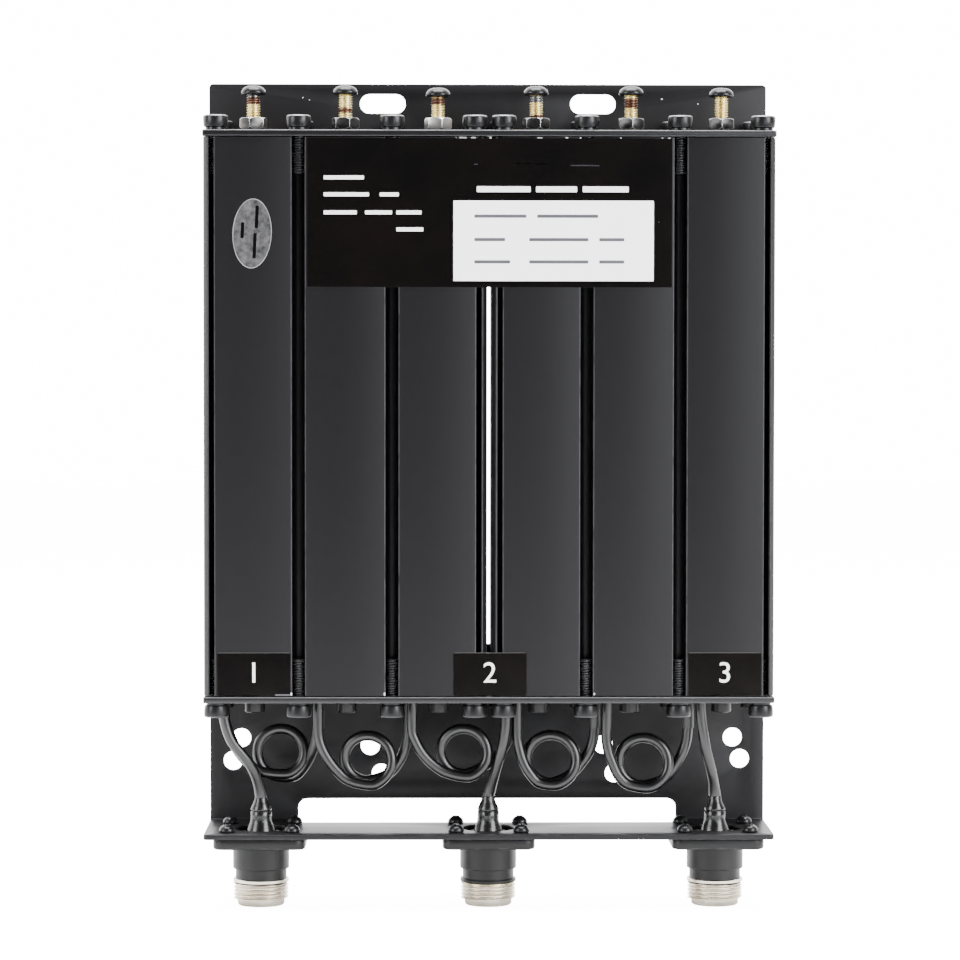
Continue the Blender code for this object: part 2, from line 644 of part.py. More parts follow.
def leads(finish):
    """The three cables that run from the ports down to the sockets' boots."""
    routes = {
        "low_band_lead": [(-75.0, 9.5, CABLE_TOP), (-75.2, 9.5, 35.8), (-74.6, 9.5, 31.9),
                          (-73.8, 9.5, 28.4), (-72.5, 9.7, 25.2), (-70.7, 10.1, 22.7),
                          (-68.3, 10.9, 19.7), (-66.6, 11.9, 16.7), (-65.5, 13.1, 13.6),
                          (-64.8, 14.2, 10.6)],
        "antenna_lead": [(4.9, 9.5, CABLE_TOP), (4.9, 9.5, 33.2), (4.7, 9.5, 28.2),
                         (3.7, 10.0, 22.6), (2.1, 11.9, 16.7), (1.3, 13.1, 13.6),
                         (0.5, 14.2, 10.8)],
        "high_band_lead": [(60.0, 10.0, CABLE_TOP), (60.1, 10.0, 32.2), (60.8, 10.0, 27.0),
                           (61.6, 10.4, 22.6), (63.1, 11.9, 16.9), (63.9, 13.1, 13.7),
                           (64.3, 14.2, 10.8)],
    }
    for index, (name, route) in enumerate(routes.items()):
        x, level = SOCKET_X[index] / ROUTE_SCALE, BOOT_HEIGHTS[index] - SHEET + CLEAR
        cable(name, [*route, (x, SOCKET_SETBACK, level)], finish, square_end=True)


def phasing_loops(finish):
    """The five looped cables that join each port to the next one."""
    routes = [
        [(-74.7, 13.6, CABLE_TOP), (-74.7, 13.6, 31.4), (-73.5, 14.4, 26.9), (-71.1, 15.3, 21.8),
         (-68.0, 16.1, 18.1), (-64.6, 16.4, 15.8), *ring((-58.7, 21.1), 16.4, 20.0, 6.1, 7.4),
         (-54.6, 19.6, 14.4), (-51.6, 18.2, 18.1), (-49.7, 16.0, 22.2), (-48.6, 14.3, 27.2),
         (-48.0, 14.0, CABLE_TOP)],
        [(-48.1, 10.0, CABLE_TOP), (-48.1, 10.0, 28.7), (-47.4, 9.9, 24.3), (-45.4, 9.8, 20.2),
         (-42.6, 9.8, 16.6), (-39.2, 9.8, 13.9), *ring((-34.3, 19.8), 9.8, 14.0, 7.2, 6.2),
         (-28.4, 14.3, 15.4), (-25.4, 14.3, 18.8), (-23.6, 14.1, 22.7), (-22.6, 14.0, 27.6),
         (-22.1, 14.0, CABLE_TOP)],
        [(-21.5, 10.0, CABLE_TOP), (-21.6, 10.0, 28.6), (-20.6, 9.9, 25.2), (-18.6, 9.8, 21.6),
         (-15.5, 9.8, 18.4), (-11.6, 9.8, 16.1), *ring((-7.0, 21.8), 9.8, 14.2, 6.9, 6.4),
         (-2.4, 14.6, 16.8), (1.6, 14.9, 19.4), (4.6, 14.6, 23.0), (6.2, 14.2, 27.6),
         (6.7, 14.0, CABLE_TOP)],
        [(8.1, 10.5, CABLE_TOP), (8.1, 10.5, 27.4), (8.7, 10.4, 23.3), (10.0, 10.1, 19.0),
         (12.0, 9.8, 15.6), (14.4, 9.8, 13.3), *ring((17.8, 19.7), 9.8, 14.0, 7.1, 6.8),
         (23.4, 14.3, 15.2), (26.6, 14.3, 18.6), (29.0, 14.1, 22.6), (30.1, 14.0, 27.6),
         (30.3, 14.0, CABLE_TOP)],
        [(33.6, 10.0, CABLE_TOP), (33.3, 10.0, 27.3), (33.9, 9.9, 22.5), (35.2, 9.8, 18.7),
         (36.9, 9.8, 15.2), (39.6, 9.8, 12.8), *ring((44.0, 18.9), 9.8, 14.0, 7.1, 6.8),
         (50.2, 14.3, 14.1), (53.4, 14.3, 18.2), (55.6, 14.1, 22.4), (56.6, 14.0, 27.4),
         (56.8, 14.0, CABLE_TOP)],
    ]
    for number, route in enumerate(routes, start=1):
        cable(f"phasing_loop_{number}", route, finish)


def label(name, centre, width, height, layer, finish, corner=0.4):
    """A thin label on the front faces; layer 1 lies on another label."""
    front = BLOCK_FRONT - (layer + 1) * (LABEL_GAP + LABEL_THICKNESS)
    shape = bmesh.new()
    front_plate(shape, rounded_rectangle(centre, width, height, corner, 1), [], front,
                LABEL_THICKNESS)
    add_object(name, shape, finish)


def labels(black, white):
    """The main label, the sticker on it and three port labels."""
    main_centre = (0.0, BLOCK_TOP - CLEAR - MAIN_LABEL_HEIGHT / 2)
    label("main_label", main_centre, MAIN_LABEL_WIDTH, MAIN_LABEL_HEIGHT, 0, black)
    sticker = (main_centre[0] + WHITE_STICKER_OFFSET[0], main_centre[1] + WHITE_STICKER_OFFSET[1])
    label("value_sticker", sticker, WHITE_STICKER_WIDTH, WHITE_STICKER_HEIGHT, 1, white)
    level = BLOCK_BOTTOM + PORT_LABEL_HEIGHT / 2 + 0.1
    for number, shift in enumerate(PORT_LABEL_SHIFTS, start=1):
        x = (number - 2) * (BODY_WIDTH / 2 - PORT_LABEL_MARGIN) + shift
        label(f"port_label_{number}", (x, level), PORT_LABEL_WIDTH, PORT_LABEL_HEIGHT, 0, black)


def build():
    """Make every piece of the duplexer."""
    remove_old_objects()
    black = material("black_paint", (0.030, 0.029, 0.032), 0.45)
    black_steel = material("black_steel", (0.035, 0.035, 0.038), 0.4, 0.6)
    brass = material("brass", (0.72, 0.52, 0.22), 0.35, 1.0)
    copper = material("copper", (0.75, 0.38, 0.24), 0.35, 1.0)
    nickel = material("nickel", (0.70, 0.68, 0.63), 0.3, 1.0)
    gilt = material("gilt", (0.83, 0.62, 0.25), 0.25, 1.0)
    resin = material("white_resin", (0.85, 0.85, 0.83), 0.5)
    jacket = material("cable_jacket", (0.02, 0.02, 0.021), 0.4)
    shrink = material("shrink_sleeve", (0.015, 0.015, 0.016), 0.3)
    gloss = material("gloss_label", (0.008, 0.008, 0.009), 0.15)
    paper = material("white_sticker", (0.88, 0.88, 0.88), 0.4)

    bracket(black)
    for name, centre in zip(("low_band_block", "high_band_block"), BLOCK_CENTRES):
        cavity_block(name, centre, black)
    tuner_holes = [hole((x, CAVITY_Y), TUNER_THREAD + 2 * CLEAR) for x in TUNER_X]
    cover("top_cover", TOP_COVER_UNDERSIDE, tuner_holes, True, black)
    rod_holes = [hole((x, CAVITY_Y), ROD_SCREW_CORE + 2 * CLEAR) for x in CAVITY_X]
    ports = [circle((x, PORT_Y), PORT_HOLE, ROUND_SIDES) for x in PORT_X]
    cover("bottom_cover", BOTTOM_COVER_UNDERSIDE, rod_holes + ports, False, black)
    resonators(copper)
    tuners(brass, copper, black_steel)
    coupling_loops(copper)
    for name, x in zip(SOCKET_NAMES, SOCKET_X):
        socket_body(f"{name}_socket", x, nickel)
        socket_inner_pieces(name, x, resin, gilt)
    boots(shrink)
    leads(jacket)
    phasing_loops(jacket)
    labels(gloss, paper)


build()
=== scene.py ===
# %% [markdown]
# This lesson dresses the solid model of a small six-cavity duplexer, the black box that lets one
# antenna serve a receiver and a transmitter. The solids give every place and size, so each step
# here only makes the surfaces finer. The model could be placed by eye, but loading it keeps every
# new piece in the frame that the moving parts use.
# %% Load the solid model
import math

import bmesh
import bpy
from mathutils import Matrix, Vector


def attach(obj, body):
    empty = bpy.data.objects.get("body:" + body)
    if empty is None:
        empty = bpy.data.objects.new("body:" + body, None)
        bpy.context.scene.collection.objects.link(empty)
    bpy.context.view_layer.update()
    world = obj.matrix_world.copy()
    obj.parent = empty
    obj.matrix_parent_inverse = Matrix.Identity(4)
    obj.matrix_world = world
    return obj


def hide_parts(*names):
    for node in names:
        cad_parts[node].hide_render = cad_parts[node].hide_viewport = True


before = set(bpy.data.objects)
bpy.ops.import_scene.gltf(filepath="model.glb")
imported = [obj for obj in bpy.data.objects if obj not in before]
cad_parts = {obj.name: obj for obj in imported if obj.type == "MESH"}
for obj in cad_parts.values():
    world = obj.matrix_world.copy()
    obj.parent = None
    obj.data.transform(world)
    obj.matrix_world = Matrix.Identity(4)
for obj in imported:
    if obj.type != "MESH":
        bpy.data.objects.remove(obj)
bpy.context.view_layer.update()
MM = 0.001

# %% [markdown]
# The photograph was taken with a long lens from about a metre away, a little above the middle and
# left of it. The covers' side edges close in by a few pixels from top to bottom, which tells that
# the camera looks slightly down. A lens shift could fake the same framing, but a turned camera also
# gives this convergence, so the turn is used and the shift stays zero.
# %% Camera
CAMERA_PLACE = (-0.01667, -0.96841, 0.15482)
CAMERA_DOWN, CAMERA_RIGHT, CAMERA_ROLL = 2.028, 0.845, 0.059
FOCAL_PIXELS, IMAGE_PIXELS, SENSOR = 3412.9, 960.0, 36.0


def new_object(name, data):
    """An object at the origin, linked to the scene."""
    made = bpy.data.objects.new(name, data)
    bpy.context.scene.collection.objects.link(made)
    return made


lens = bpy.data.cameras.new("camera")
lens.sensor_fit, lens.sensor_width = "HORIZONTAL", SENSOR
lens.lens = FOCAL_PIXELS / IMAGE_PIXELS * SENSOR
lens.clip_start, lens.clip_end = 0.05, 50.0
camera = new_object("camera", lens)
camera.matrix_world = (Matrix.Translation(CAMERA_PLACE)
                       @ Matrix.Rotation(math.radians(-CAMERA_RIGHT), 4, "Z")
                       @ Matrix.Rotation(math.radians(90 - CAMERA_DOWN), 4, "X")
                       @ Matrix.Rotation(math.radians(CAMERA_ROLL), 4, "Z"))
bpy.context.scene.camera = camera
print("lens:", round(lens.lens, 1), "mm")

# %% [markdown]
# Eight cables of three millimetres hang between the bottom cover and the shelf. Three leads run
# down into the sockets' boots, and five loops join each port to the next, with one turn each to
# take up their tuned length. Each one could be a bent tube, but a curve with a round bevel keeps
# its thickness everywhere, and its points are the ones that the solid cables use. Each point says
# how far it lies to the right, behind the covers' front edge and above the shelf, in millimetres.
# %% Routes of the cables
COVER_FRONT, SHELF_TOP = -16.75, 21.7
CABLE_DIAMETER = 3.0
PORT_TOP = 38.35
RING_STEPS, RING_START, RING_SWEEP = 12, -80, 355


def ring(centre, start_depth, end_depth, start_radius, end_radius):
    """One turn of a loop, from its lowest point round to the right and back."""
    points = []
    for step in range(RING_STEPS + 1):
        share = step / RING_STEPS
        angle = math.radians(RING_START + RING_SWEEP * share)
        radius = start_radius + (end_radius - start_radius) * share
        depth = start_depth + (end_depth - start_depth) * min(1.0, share * 1.4)
        points.append((centre[0] + radius * math.cos(angle), depth,
                       centre[1] + radius * math.sin(angle)))
    return points


LEADS = {
    "low_band_lead": [
        (-75.0, 9.5, PORT_TOP), (-75.2, 9.5, 35.8), (-74.6, 9.5, 31.9), (-73.8, 9.5, 28.4),
        (-72.5, 9.7, 25.2), (-70.7, 10.1, 22.7), (-68.3, 10.9, 19.7), (-66.6, 11.9, 16.7),
        (-65.5, 13.1, 13.6), (-64.8, 14.2, 10.6), (-64.5, 14.5, 8.7), (-64.5, 14.5, 2.2)],
    "antenna_lead": [
        (4.9, 9.5, PORT_TOP), (4.9, 9.5, 33.2), (4.7, 9.5, 28.2), (3.7, 10.0, 22.6),
        (2.1, 11.9, 16.7), (1.3, 13.1, 13.6), (0.5, 14.2, 10.8), (0.0, 14.5, 8.9),
        (0.0, 14.5, 2.2)],
    "high_band_lead": [
        (60.0, 10.0, PORT_TOP), (60.1, 10.0, 32.2), (60.8, 10.0, 27.0), (61.6, 10.4, 22.6),
        (63.1, 11.9, 16.9), (63.9, 13.1, 13.7), (64.3, 14.2, 10.8), (64.5, 14.5, 8.9),
        (64.5, 14.5, 2.2)]}
LOOPS = [
    [(-74.7, 13.6, PORT_TOP), (-74.7, 13.6, 31.4), (-73.5, 14.4, 26.9), (-71.1, 15.3, 21.8),
     (-68.0, 16.1, 18.1), (-64.6, 16.4, 15.8), *ring((-58.7, 21.1), 16.4, 20.0, 6.1, 7.4),
     (-54.6, 19.6, 14.4), (-51.6, 18.2, 18.1), (-49.7, 16.0, 22.2), (-48.6, 14.3, 27.2),
     (-48.0, 14.0, PORT_TOP)],
    [(-48.1, 10.0, PORT_TOP), (-48.1, 10.0, 28.7), (-47.4, 9.9, 24.3), (-45.4, 9.8, 20.2),
     (-42.6, 9.8, 16.6), (-39.2, 9.8, 13.9), *ring((-34.3, 19.8), 9.8, 14.0, 7.2, 6.2),
     (-28.4, 14.3, 15.4), (-25.4, 14.3, 18.8), (-23.6, 14.1, 22.7), (-22.6, 14.0, 27.6),
     (-22.1, 14.0, PORT_TOP)],
    [(-21.5, 10.0, PORT_TOP), (-21.6, 10.0, 28.6), (-20.6, 9.9, 25.2), (-18.6, 9.8, 21.6),
     (-15.5, 9.8, 18.4), (-11.6, 9.8, 16.1), *ring((-7.0, 21.8), 9.8, 14.2, 6.9, 6.4),
     (-2.4, 14.6, 16.8), (1.6, 14.9, 19.4), (4.6, 14.6, 23.0), (6.2, 14.2, 27.6),
     (6.7, 14.0, PORT_TOP)],
    [(8.1, 10.5, PORT_TOP), (8.1, 10.5, 27.4), (8.7, 10.4, 23.3), (10.0, 10.1, 19.0),
     (12.0, 9.8, 15.6), (14.4, 9.8, 13.3), *ring((17.8, 19.7), 9.8, 14.0, 7.1, 6.8),
     (23.4, 14.3, 15.2), (26.6, 14.3, 18.6), (29.0, 14.1, 22.6), (30.1, 14.0, 27.6),
     (30.3, 14.0, PORT_TOP)],
    [(33.6, 10.0, PORT_TOP), (33.3, 10.0, 27.3), (33.9, 9.9, 22.5), (35.2, 9.8, 18.7),
     (36.9, 9.8, 15.2), (39.6, 9.8, 12.8), *ring((44.0, 18.9), 9.8, 14.0, 7.1, 6.8),
     (50.2, 14.3, 14.1), (53.4, 14.3, 18.2), (55.6, 14.1, 22.4), (56.6, 14.0, 27.4),
     (56.8, 14.0, PORT_TOP)]]
print(len(LEADS), "leads and", len(LOOPS), "loops")

# %% [markdown]
# A few points describe where a cable goes, and a smooth curve through them describes how it bends.
# Blender's own splines could do this with handles, but then the handles have to be set by hand, so
# the points are read into a close, even line first. The radius is kept on the points, under a bevel
# of one, so that the curve's own box is the cable's box. The leads swell a little where a shrunk
# sleeve covers them above their boots.
FINE_STEPS = 12
SLEEVE_TOP, SLEEVE_RISE, SLEEVE_SWELL = SHELF_TOP + 13.2, 3.5, 0.3


def smooth_route(points, step=1.0):
    """Even points on a smooth curve; depth counts from the covers, height from the shelf."""
    points = [Vector((x, COVER_FRONT + depth, SHELF_TOP + height)) for x, depth, height in points]
    ends = [2 * points[0] - points[1], *points, 2 * points[-1] - points[-2]]
    fine = []
    for before, start, end, after in zip(ends, ends[1:], ends[2:], ends[3:]):
        for part in range(FINE_STEPS):
            t = part / FINE_STEPS
            fine.append(0.5 * (2 * start + (end - before) * t
                               + (2 * before - 5 * start + 4 * end - after) * t ** 2
                               + (3 * start - before - 3 * end + after) * t ** 3))
    fine.append(points[-1])
    lengths = [0.0]
    for start, end in zip(fine, fine[1:]):
        lengths.append(lengths[-1] + (end - start).length)
    count = max(2, round(lengths[-1] / step))
    even, index = [], 0
    for number in range(count + 1):
        target = lengths[-1] * number / count
        while index < len(lengths) - 2 and lengths[index + 1] < target:
            index += 1
        share = (target - lengths[index]) / (lengths[index + 1] - lengths[index])
        even.append(fine[index].lerp(fine[index + 1], share))
    return even, lengths[-1]


def cable(name, route, node, lay):
    """A round cable as a bevelled curve that stands for its solid; a lead swells at its sleeve."""
    points, length = smooth_route(route)
    curve = bpy.data.curves.new(name, "CURVE")
    curve.dimensions = "3D"
    curve.bevel_depth = 1.0
    curve.bevel_resolution = 6
    curve.use_fill_caps = True
    spline = curve.splines.new("POLY")
    spline.points.add(len(points) - 1)
    for place, point in zip(points, spline.points):
        down = (SLEEVE_TOP - place.z) / SLEEVE_RISE if lay == "hanging" else 0.0
        swell = SLEEVE_SWELL * min(max(down, 0.0), 1.0)
        point.co, point.radius = (*(place * MM), 1.0), (CABLE_DIAMETER / 2 + swell) * MM
    spline.use_smooth = True
    made = new_object(name, curve)
    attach(made, "chassis")
    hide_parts(node)
    print(name, round(length, 1), "mm")
    return made


cables = [cable(f"{node}_cable", route, node, "hanging") for node, route in LEADS.items()]
cables += [cable(f"loop_cable_{number}", route, f"phasing_loop_{number}", "coiled")
           for number, route in enumerate(LOOPS, start=1)]

# %% [markdown]
# The finished look of a painted or plated piece comes from small changes over its surface. A plain
# colour could be given to each piece, but real paint has a grain, a slight mottle and lighter
# edges. These effects are used by many finishes, so each is a node group with named sockets, built
# once and placed in each material with its own values. The mask of the lighter edges also gives
# the cap screws' rims a painted highlight.
# %% Node groups for grain, mottle, worn edges and painted rim highlights


def feed(tree, made, inputs):
    """Set a node's inputs, each to a number, to a colour or to another node's output."""
    for key, value in inputs.items():
        if isinstance(value, bpy.types.NodeSocket):
            tree.links.new(value, made.inputs[key])
        else:
            made.inputs[key].default_value = (*value, 1.0) if isinstance(value, tuple) else value


def node(tree, kind, inputs=None, **properties):
    """Add a node with its properties and its inputs."""
    made = tree.nodes.new(kind)
    for key, value in properties.items():
        setattr(made, key, value)
    feed(tree, made, inputs or {})
    return made


def maths(tree, operation, *values, clamp=False):
    """The output of a Math node whose inputs are outputs or numbers."""
    return node(tree, "ShaderNodeMath", dict(enumerate(values)), operation=operation,
                use_clamp=clamp).outputs[0]


def new_group(name, inputs, outputs):
    """A shader group with number sockets, and its input and output nodes."""
    group = bpy.data.node_groups.new(name, "ShaderNodeTree")
    for label, value in inputs.items():
        group.interface.new_socket(label, in_out="INPUT",
                                   socket_type="NodeSocketFloat").default_value = value
    for label in outputs:
        group.interface.new_socket(label, in_out="OUTPUT", socket_type="NodeSocketFloat")
    return group, group.nodes.new("NodeGroupInput"), group.nodes.new("NodeGroupOutput")


def build_grain():
    """Fine bumps with a slow mottle; stretch pulls both along Z, as on drawn metal."""
    group, inside, outside = new_group(
        "surface_grain", {"Grain Size": 0.0003, "Mottle Size": 0.02, "Stretch": 1.0},
        ("Grain", "Mottle"))
    squeeze = node(group, "ShaderNodeCombineXYZ", {
        0: 1.0, 1: 1.0, 2: maths(group, "DIVIDE", 1.0, inside.outputs["Stretch"])})
    place = node(group, "ShaderNodeTexCoord").outputs["Object"]
    point = node(
        group, "ShaderNodeVectorMath", {0: place, 1: squeeze.outputs[0]}, operation="MULTIPLY")
    for label in ("Grain", "Mottle"):
        scale = maths(group, "DIVIDE", 1.0, inside.outputs[f"{label} Size"])
        noise = node(group, "ShaderNodeTexNoise", {
            "Vector": point.outputs[0], "Scale": scale, "Detail": 3.0, "Roughness": 0.6})
        group.links.new(noise.outputs["Fac"], outside.inputs[label])
    return group


def build_edge_wear():
    """Worn edges and painted rim highlights, broken up by noise; bevels and screw rims mark them.
    """
    group, inside, outside = new_group(
        "edge_wear_and_rim_highlight", {"Break Up Size": 0.004, "Cover": 0.5}, ("Mask",))
    edge = node(group, "ShaderNodeAttribute", attribute_name="edge")
    noise = node(group, "ShaderNodeTexNoise", {
        "Vector": node(group, "ShaderNodeTexCoord").outputs["Object"],
        "Scale": maths(group, "DIVIDE", 1.0, inside.outputs["Break Up Size"]), "Detail": 4.0})
    lifted = maths(
        group, "ADD", noise.outputs["Fac"], maths(group, "SUBTRACT", inside.outputs["Cover"], 1.0))
    steep = maths(group, "MULTIPLY", lifted, 4.0, clamp=True)
    worn = maths(group, "MULTIPLY", steep, edge.outputs["Fac"])
    group.links.new(worn, outside.inputs["Mask"])
    return group


GRAIN, EDGE_WEAR_AND_RIM_HIGHLIGHT = build_grain(), build_edge_wear()
print("groups:", GRAIN.name, EDGE_WEAR_AND_RIM_HIGHLIGHT.name)

# %% [markdown]
# Satin paint on sheet and on extrusions is nearly black, and most of the grey that shows is the
# room mirrored in its soft gloss. It could be made darker or lighter by its colour alone, but then
# it would look like chalk, so the colour stays dark and the roughness does the work.
# %% Painted and anodised finishes


def new_material(name, metallic=0.0, specular=0.5):
    """A Principled material; returns it with its tree and its shader."""
    made = bpy.data.materials.new(name)
    made.use_nodes = True
    tree = made.node_tree
    shader = tree.nodes["Principled BSDF"]
    feed(tree, shader, {"Metallic": metallic, "Specular IOR Level": specular})
    return made, tree, shader


def blend(tree, share, first, second):
    """Mix two colours by a share."""
    return node(tree, "ShaderNodeMix", {0: share, 6: first, 7: second},
                data_type="RGBA").outputs[2]


def spread(tree, source, low, high, start=0.3, end=0.7):
    """Map a mask from one span to another."""
    return node(tree, "ShaderNodeMapRange", {
        "Value": source, "From Min": start, "From Max": end, "To Min": low,
        "To Max": high}).outputs[0]


def finish(name, dark, light, rough, grain=0.0004, mottle=0.03, stretch=1.0, relief=0.2,
           relief_depth=0.00003, edge=None, cover=0.7, **shader_values):
    """A surface between two colours and roughnesses, with grain, wear and painted rim highlights.
    """
    made, tree, shader = new_material(name, **shader_values)
    noise = node(tree, "ShaderNodeGroup", {
        "Grain Size": grain, "Mottle Size": mottle, "Stretch": stretch}, node_tree=GRAIN)
    colour = blend(tree, spread(tree, noise.outputs["Mottle"], 0.0, 1.0), dark, light)
    if edge:
        wear_and_highlight = node(tree, "ShaderNodeGroup", {"Cover": cover}, node_tree=EDGE_WEAR_AND_RIM_HIGHLIGHT)
        colour = blend(tree, wear_and_highlight.outputs["Mask"], colour, edge)
    bump = node(tree, "ShaderNodeBump", {
        "Strength": relief, "Distance": relief_depth, "Height": noise.outputs["Grain"]})
    feed(tree, shader, {"Base Color": colour, "Normal": bump.outputs[0],
                        "Roughness": spread(tree, noise.outputs["Mottle"], *rough)})
    return made


BARE_EDGE = (0.03, 0.03, 0.032)
plate_paint = finish(
    "plate_paint", (0.0076, 0.0072, 0.0080), (0.0088, 0.0084, 0.0092), (0.40, 0.43), grain=0.0005,
    relief=0.12, edge=BARE_EDGE, cover=0.62, specular=0.17)
tube_paint = finish(
    "tube_paint", (0.0030, 0.0027, 0.0033), (0.0036, 0.0033, 0.0040), (0.38, 0.40), grain=0.0004,
    stretch=14.0, relief=0.08, edge=BARE_EDGE, cover=0.75, specular=0.22)
cover_paint = finish(
    "cover_paint", (0.0032, 0.0030, 0.0035), (0.0038, 0.0036, 0.0041), (0.30, 0.34), grain=0.0005,
    relief=0.12, edge=BARE_EDGE, cover=0.9, specular=0.35)
socket_paint = finish(
    "socket_paint", (0.0028, 0.0027, 0.0030), (0.0036, 0.0035, 0.0038), (0.36, 0.40), relief=0.12,
    edge=(0.02, 0.02, 0.022), cover=0.55, specular=0.24)
print("painted finishes:", 4)

# %% [markdown]
# The screws are blackened steel, the tuners turned brass under a dark head, and the sockets' noses
# nickel. Metal could be faked with a grey paint, but only a metallic surface takes its colour into
# its highlights, so these use metallic shaders with a fine turned grain.
# %% Metal finishes
# The light edge colour of black_steel shows only on the cap screws' marked rims, as a painted
# highlight.
black_steel = finish(
    "black_steel", (0.009, 0.009, 0.010), (0.014, 0.014, 0.015), (0.26, 0.32), grain=0.0003,
    mottle=0.004, edge=(0.16, 0.16, 0.165), cover=0.8, metallic=0.6)
# The same blackened steel, made darker for the screws under the bottom cover: painted shade. Its
# light edge colour paints a highlight on the cap screws' lower rims.
shade_darkened_steel = finish(
    "shade_darkened_steel", (0.0040, 0.0040, 0.0044), (0.0065, 0.0065, 0.0070), (0.29, 0.35), mottle=0.004,
    edge=(0.05, 0.05, 0.052), cover=0.9, metallic=0.3, specular=0.3)
dark_nut_steel = finish(
    "dark_nut_steel", (0.020, 0.020, 0.021), (0.06, 0.058, 0.058), (0.26, 0.34), grain=0.0003,
    mottle=0.003, edge=(0.35, 0.35, 0.35), cover=0.8, metallic=0.8)
grey_nut_steel = finish(
    "grey_nut_steel", (0.07, 0.067, 0.064), (0.15, 0.144, 0.138), (0.26, 0.36), grain=0.0003,
    mottle=0.004, edge=(0.6, 0.6, 0.6), cover=0.9, metallic=0.9)
bright_nut_steel = finish(
    "bright_nut_steel", (0.36, 0.35, 0.34), (0.56, 0.55, 0.54), (0.28, 0.38), grain=0.0003,
    mottle=0.004, edge=(0.8, 0.8, 0.8), cover=0.9, metallic=0.9)
thread_steel = finish(
    "thread_steel", (0.20, 0.20, 0.20), (0.32, 0.32, 0.31), (0.25, 0.35), metallic=0.9)
shank_steel = finish(
    "shank_steel", (0.05, 0.05, 0.052), (0.09, 0.09, 0.092), (0.3, 0.4), metallic=0.8)
nickel = finish(
    "nickel", (0.52, 0.47, 0.39), (0.74, 0.68, 0.59), (0.20, 0.30), grain=0.0003, mottle=0.006,
    metallic=1.0)
brass = finish(
    "brass", (0.74, 0.60, 0.26), (0.93, 0.82, 0.46), (0.34, 0.42), grain=0.0002, mottle=0.004,
    metallic=1.0)
stained_brass = finish(
    "stained_brass", (0.09, 0.035, 0.025), (0.26, 0.14, 0.09), (0.3, 0.45), grain=0.0002,
    mottle=0.0015, metallic=0.9)
gilt = finish("gilt", (0.75, 0.52, 0.18), (0.85, 0.63, 0.26), (0.2, 0.28), metallic=1.0)
copper = finish("copper", (0.62, 0.28, 0.16), (0.75, 0.38, 0.24), (0.3, 0.42), metallic=1.0)
silver_film = finish(
    "silver_film", (0.030, 0.030, 0.033), (0.13, 0.128, 0.135), (0.36, 0.5), grain=0.0003,
    mottle=0.0016, metallic=0.6)
silver_rim = finish(
    "silver_rim", (0.32, 0.32, 0.32), (0.5, 0.5, 0.5), (0.3, 0.4), mottle=0.006, metallic=0.6)
print("metal finishes:", 14)

# %% [markdown]
# The cables have a satin jacket, the boots are shrunk sleeve with a wet-looking gloss, and the
# labels are printed film. The jacket could share one black with the paint, but plastics differ in
# gloss more than in colour, so each has its own roughness and its own small waves.
# %% Plastic and film finishes
jacket = finish(
    "cable_jacket", (0.0014, 0.0013, 0.0015), (0.0020, 0.0019, 0.0021), (0.28, 0.33), grain=0.0006,
    mottle=0.01, relief=0.08)
shrink_sleeve = finish(
    "shrink_sleeve", (0.0022, 0.0022, 0.0024), (0.0032, 0.0032, 0.0035), (0.22, 0.30),
    grain=0.0018, mottle=0.006, relief=0.25, relief_depth=0.00006)
sleeve_matt = finish(
    "sleeve_matt", (0.0050, 0.0050, 0.0053), (0.0062, 0.0062, 0.0065), (0.45, 0.55), grain=0.0006)
gloss_film = finish(
    "gloss_film", (0.0008, 0.0008, 0.0009), (0.0024, 0.0015, 0.0013), (0.12, 0.16), grain=0.003,
    mottle=0.02, relief=0.15, relief_depth=0.00002, specular=0.25)
white_film = finish(
    "white_film", (0.94, 0.94, 0.94), (0.97, 0.97, 0.97), (0.35, 0.45), grain=0.0008, mottle=0.02,
    relief=0.05)
white_print = finish(
    "white_print", (0.78, 0.78, 0.78), (0.85, 0.85, 0.85), (0.35, 0.45), relief=0.02)
grey_print = finish(
    "grey_print", (0.035, 0.035, 0.045), (0.06, 0.06, 0.07), (0.4, 0.5), relief=0.02)
resin = finish("resin", (0.75, 0.75, 0.72), (0.82, 0.82, 0.79), (0.35, 0.45))
for made in cables:
    made.data.materials.append(jacket)
print("plastic finishes:", 8)

# %% [markdown]
# Every new piece is drawn in millimetres, as on a workshop drawing. A flat part is an outline with
# its holes, filled and raised to its thickness, and a round part is a profile that is spun. Both
# could start from ready-made cubes and cylinders, but a drawing gives each corner its true place.
# %% Helpers that draw a shape


def outline(shape, kind, centre, width, height=None, corner=0.0, steps=5, sides=48, turn=0.0):
    """Draw a round or a rectangular face in the XY plane."""
    place = Matrix.Translation((*centre, 0)) @ Matrix.Rotation(math.radians(turn), 4, "Z")
    if kind == "round":
        return bmesh.ops.create_circle(shape, cap_ends=True, segments=sides, radius=width / 2,
                                       matrix=place)["verts"]
    made = bmesh.ops.create_grid(shape, x_segments=1, y_segments=1, size=0.5,
                                 matrix=place @ Matrix.Diagonal((width, height, 1, 1)))["verts"]
    if corner:
        made = bmesh.ops.bevel(
            shape, geom=made, offset=corner, offset_type="OFFSET", segments=steps, profile=0.5,
            affect="VERTICES", material=-1)["verts"]
    return made


def punch(shape):
    """Turn the drawn outlines into one flat sheet with holes."""
    bmesh.ops.delete(shape, geom=shape.faces[:], context="FACES_ONLY")
    bmesh.ops.triangle_fill(shape, use_beauty=True, edges=shape.edges[:], normal=(0, 0, 1))


def raise_sheet(shape, low, high):
    """Give the flat sheet a thickness, from one level to another."""
    move(shape, (0, 0, low))
    grown = bmesh.ops.extrude_face_region(shape, geom=shape.faces[:])["geom"]
    points = [item for item in grown if isinstance(item, bmesh.types.BMVert)]
    bmesh.ops.translate(shape, vec=(0, 0, high - low), verts=points)
    bmesh.ops.recalc_face_normals(shape, faces=shape.faces[:])


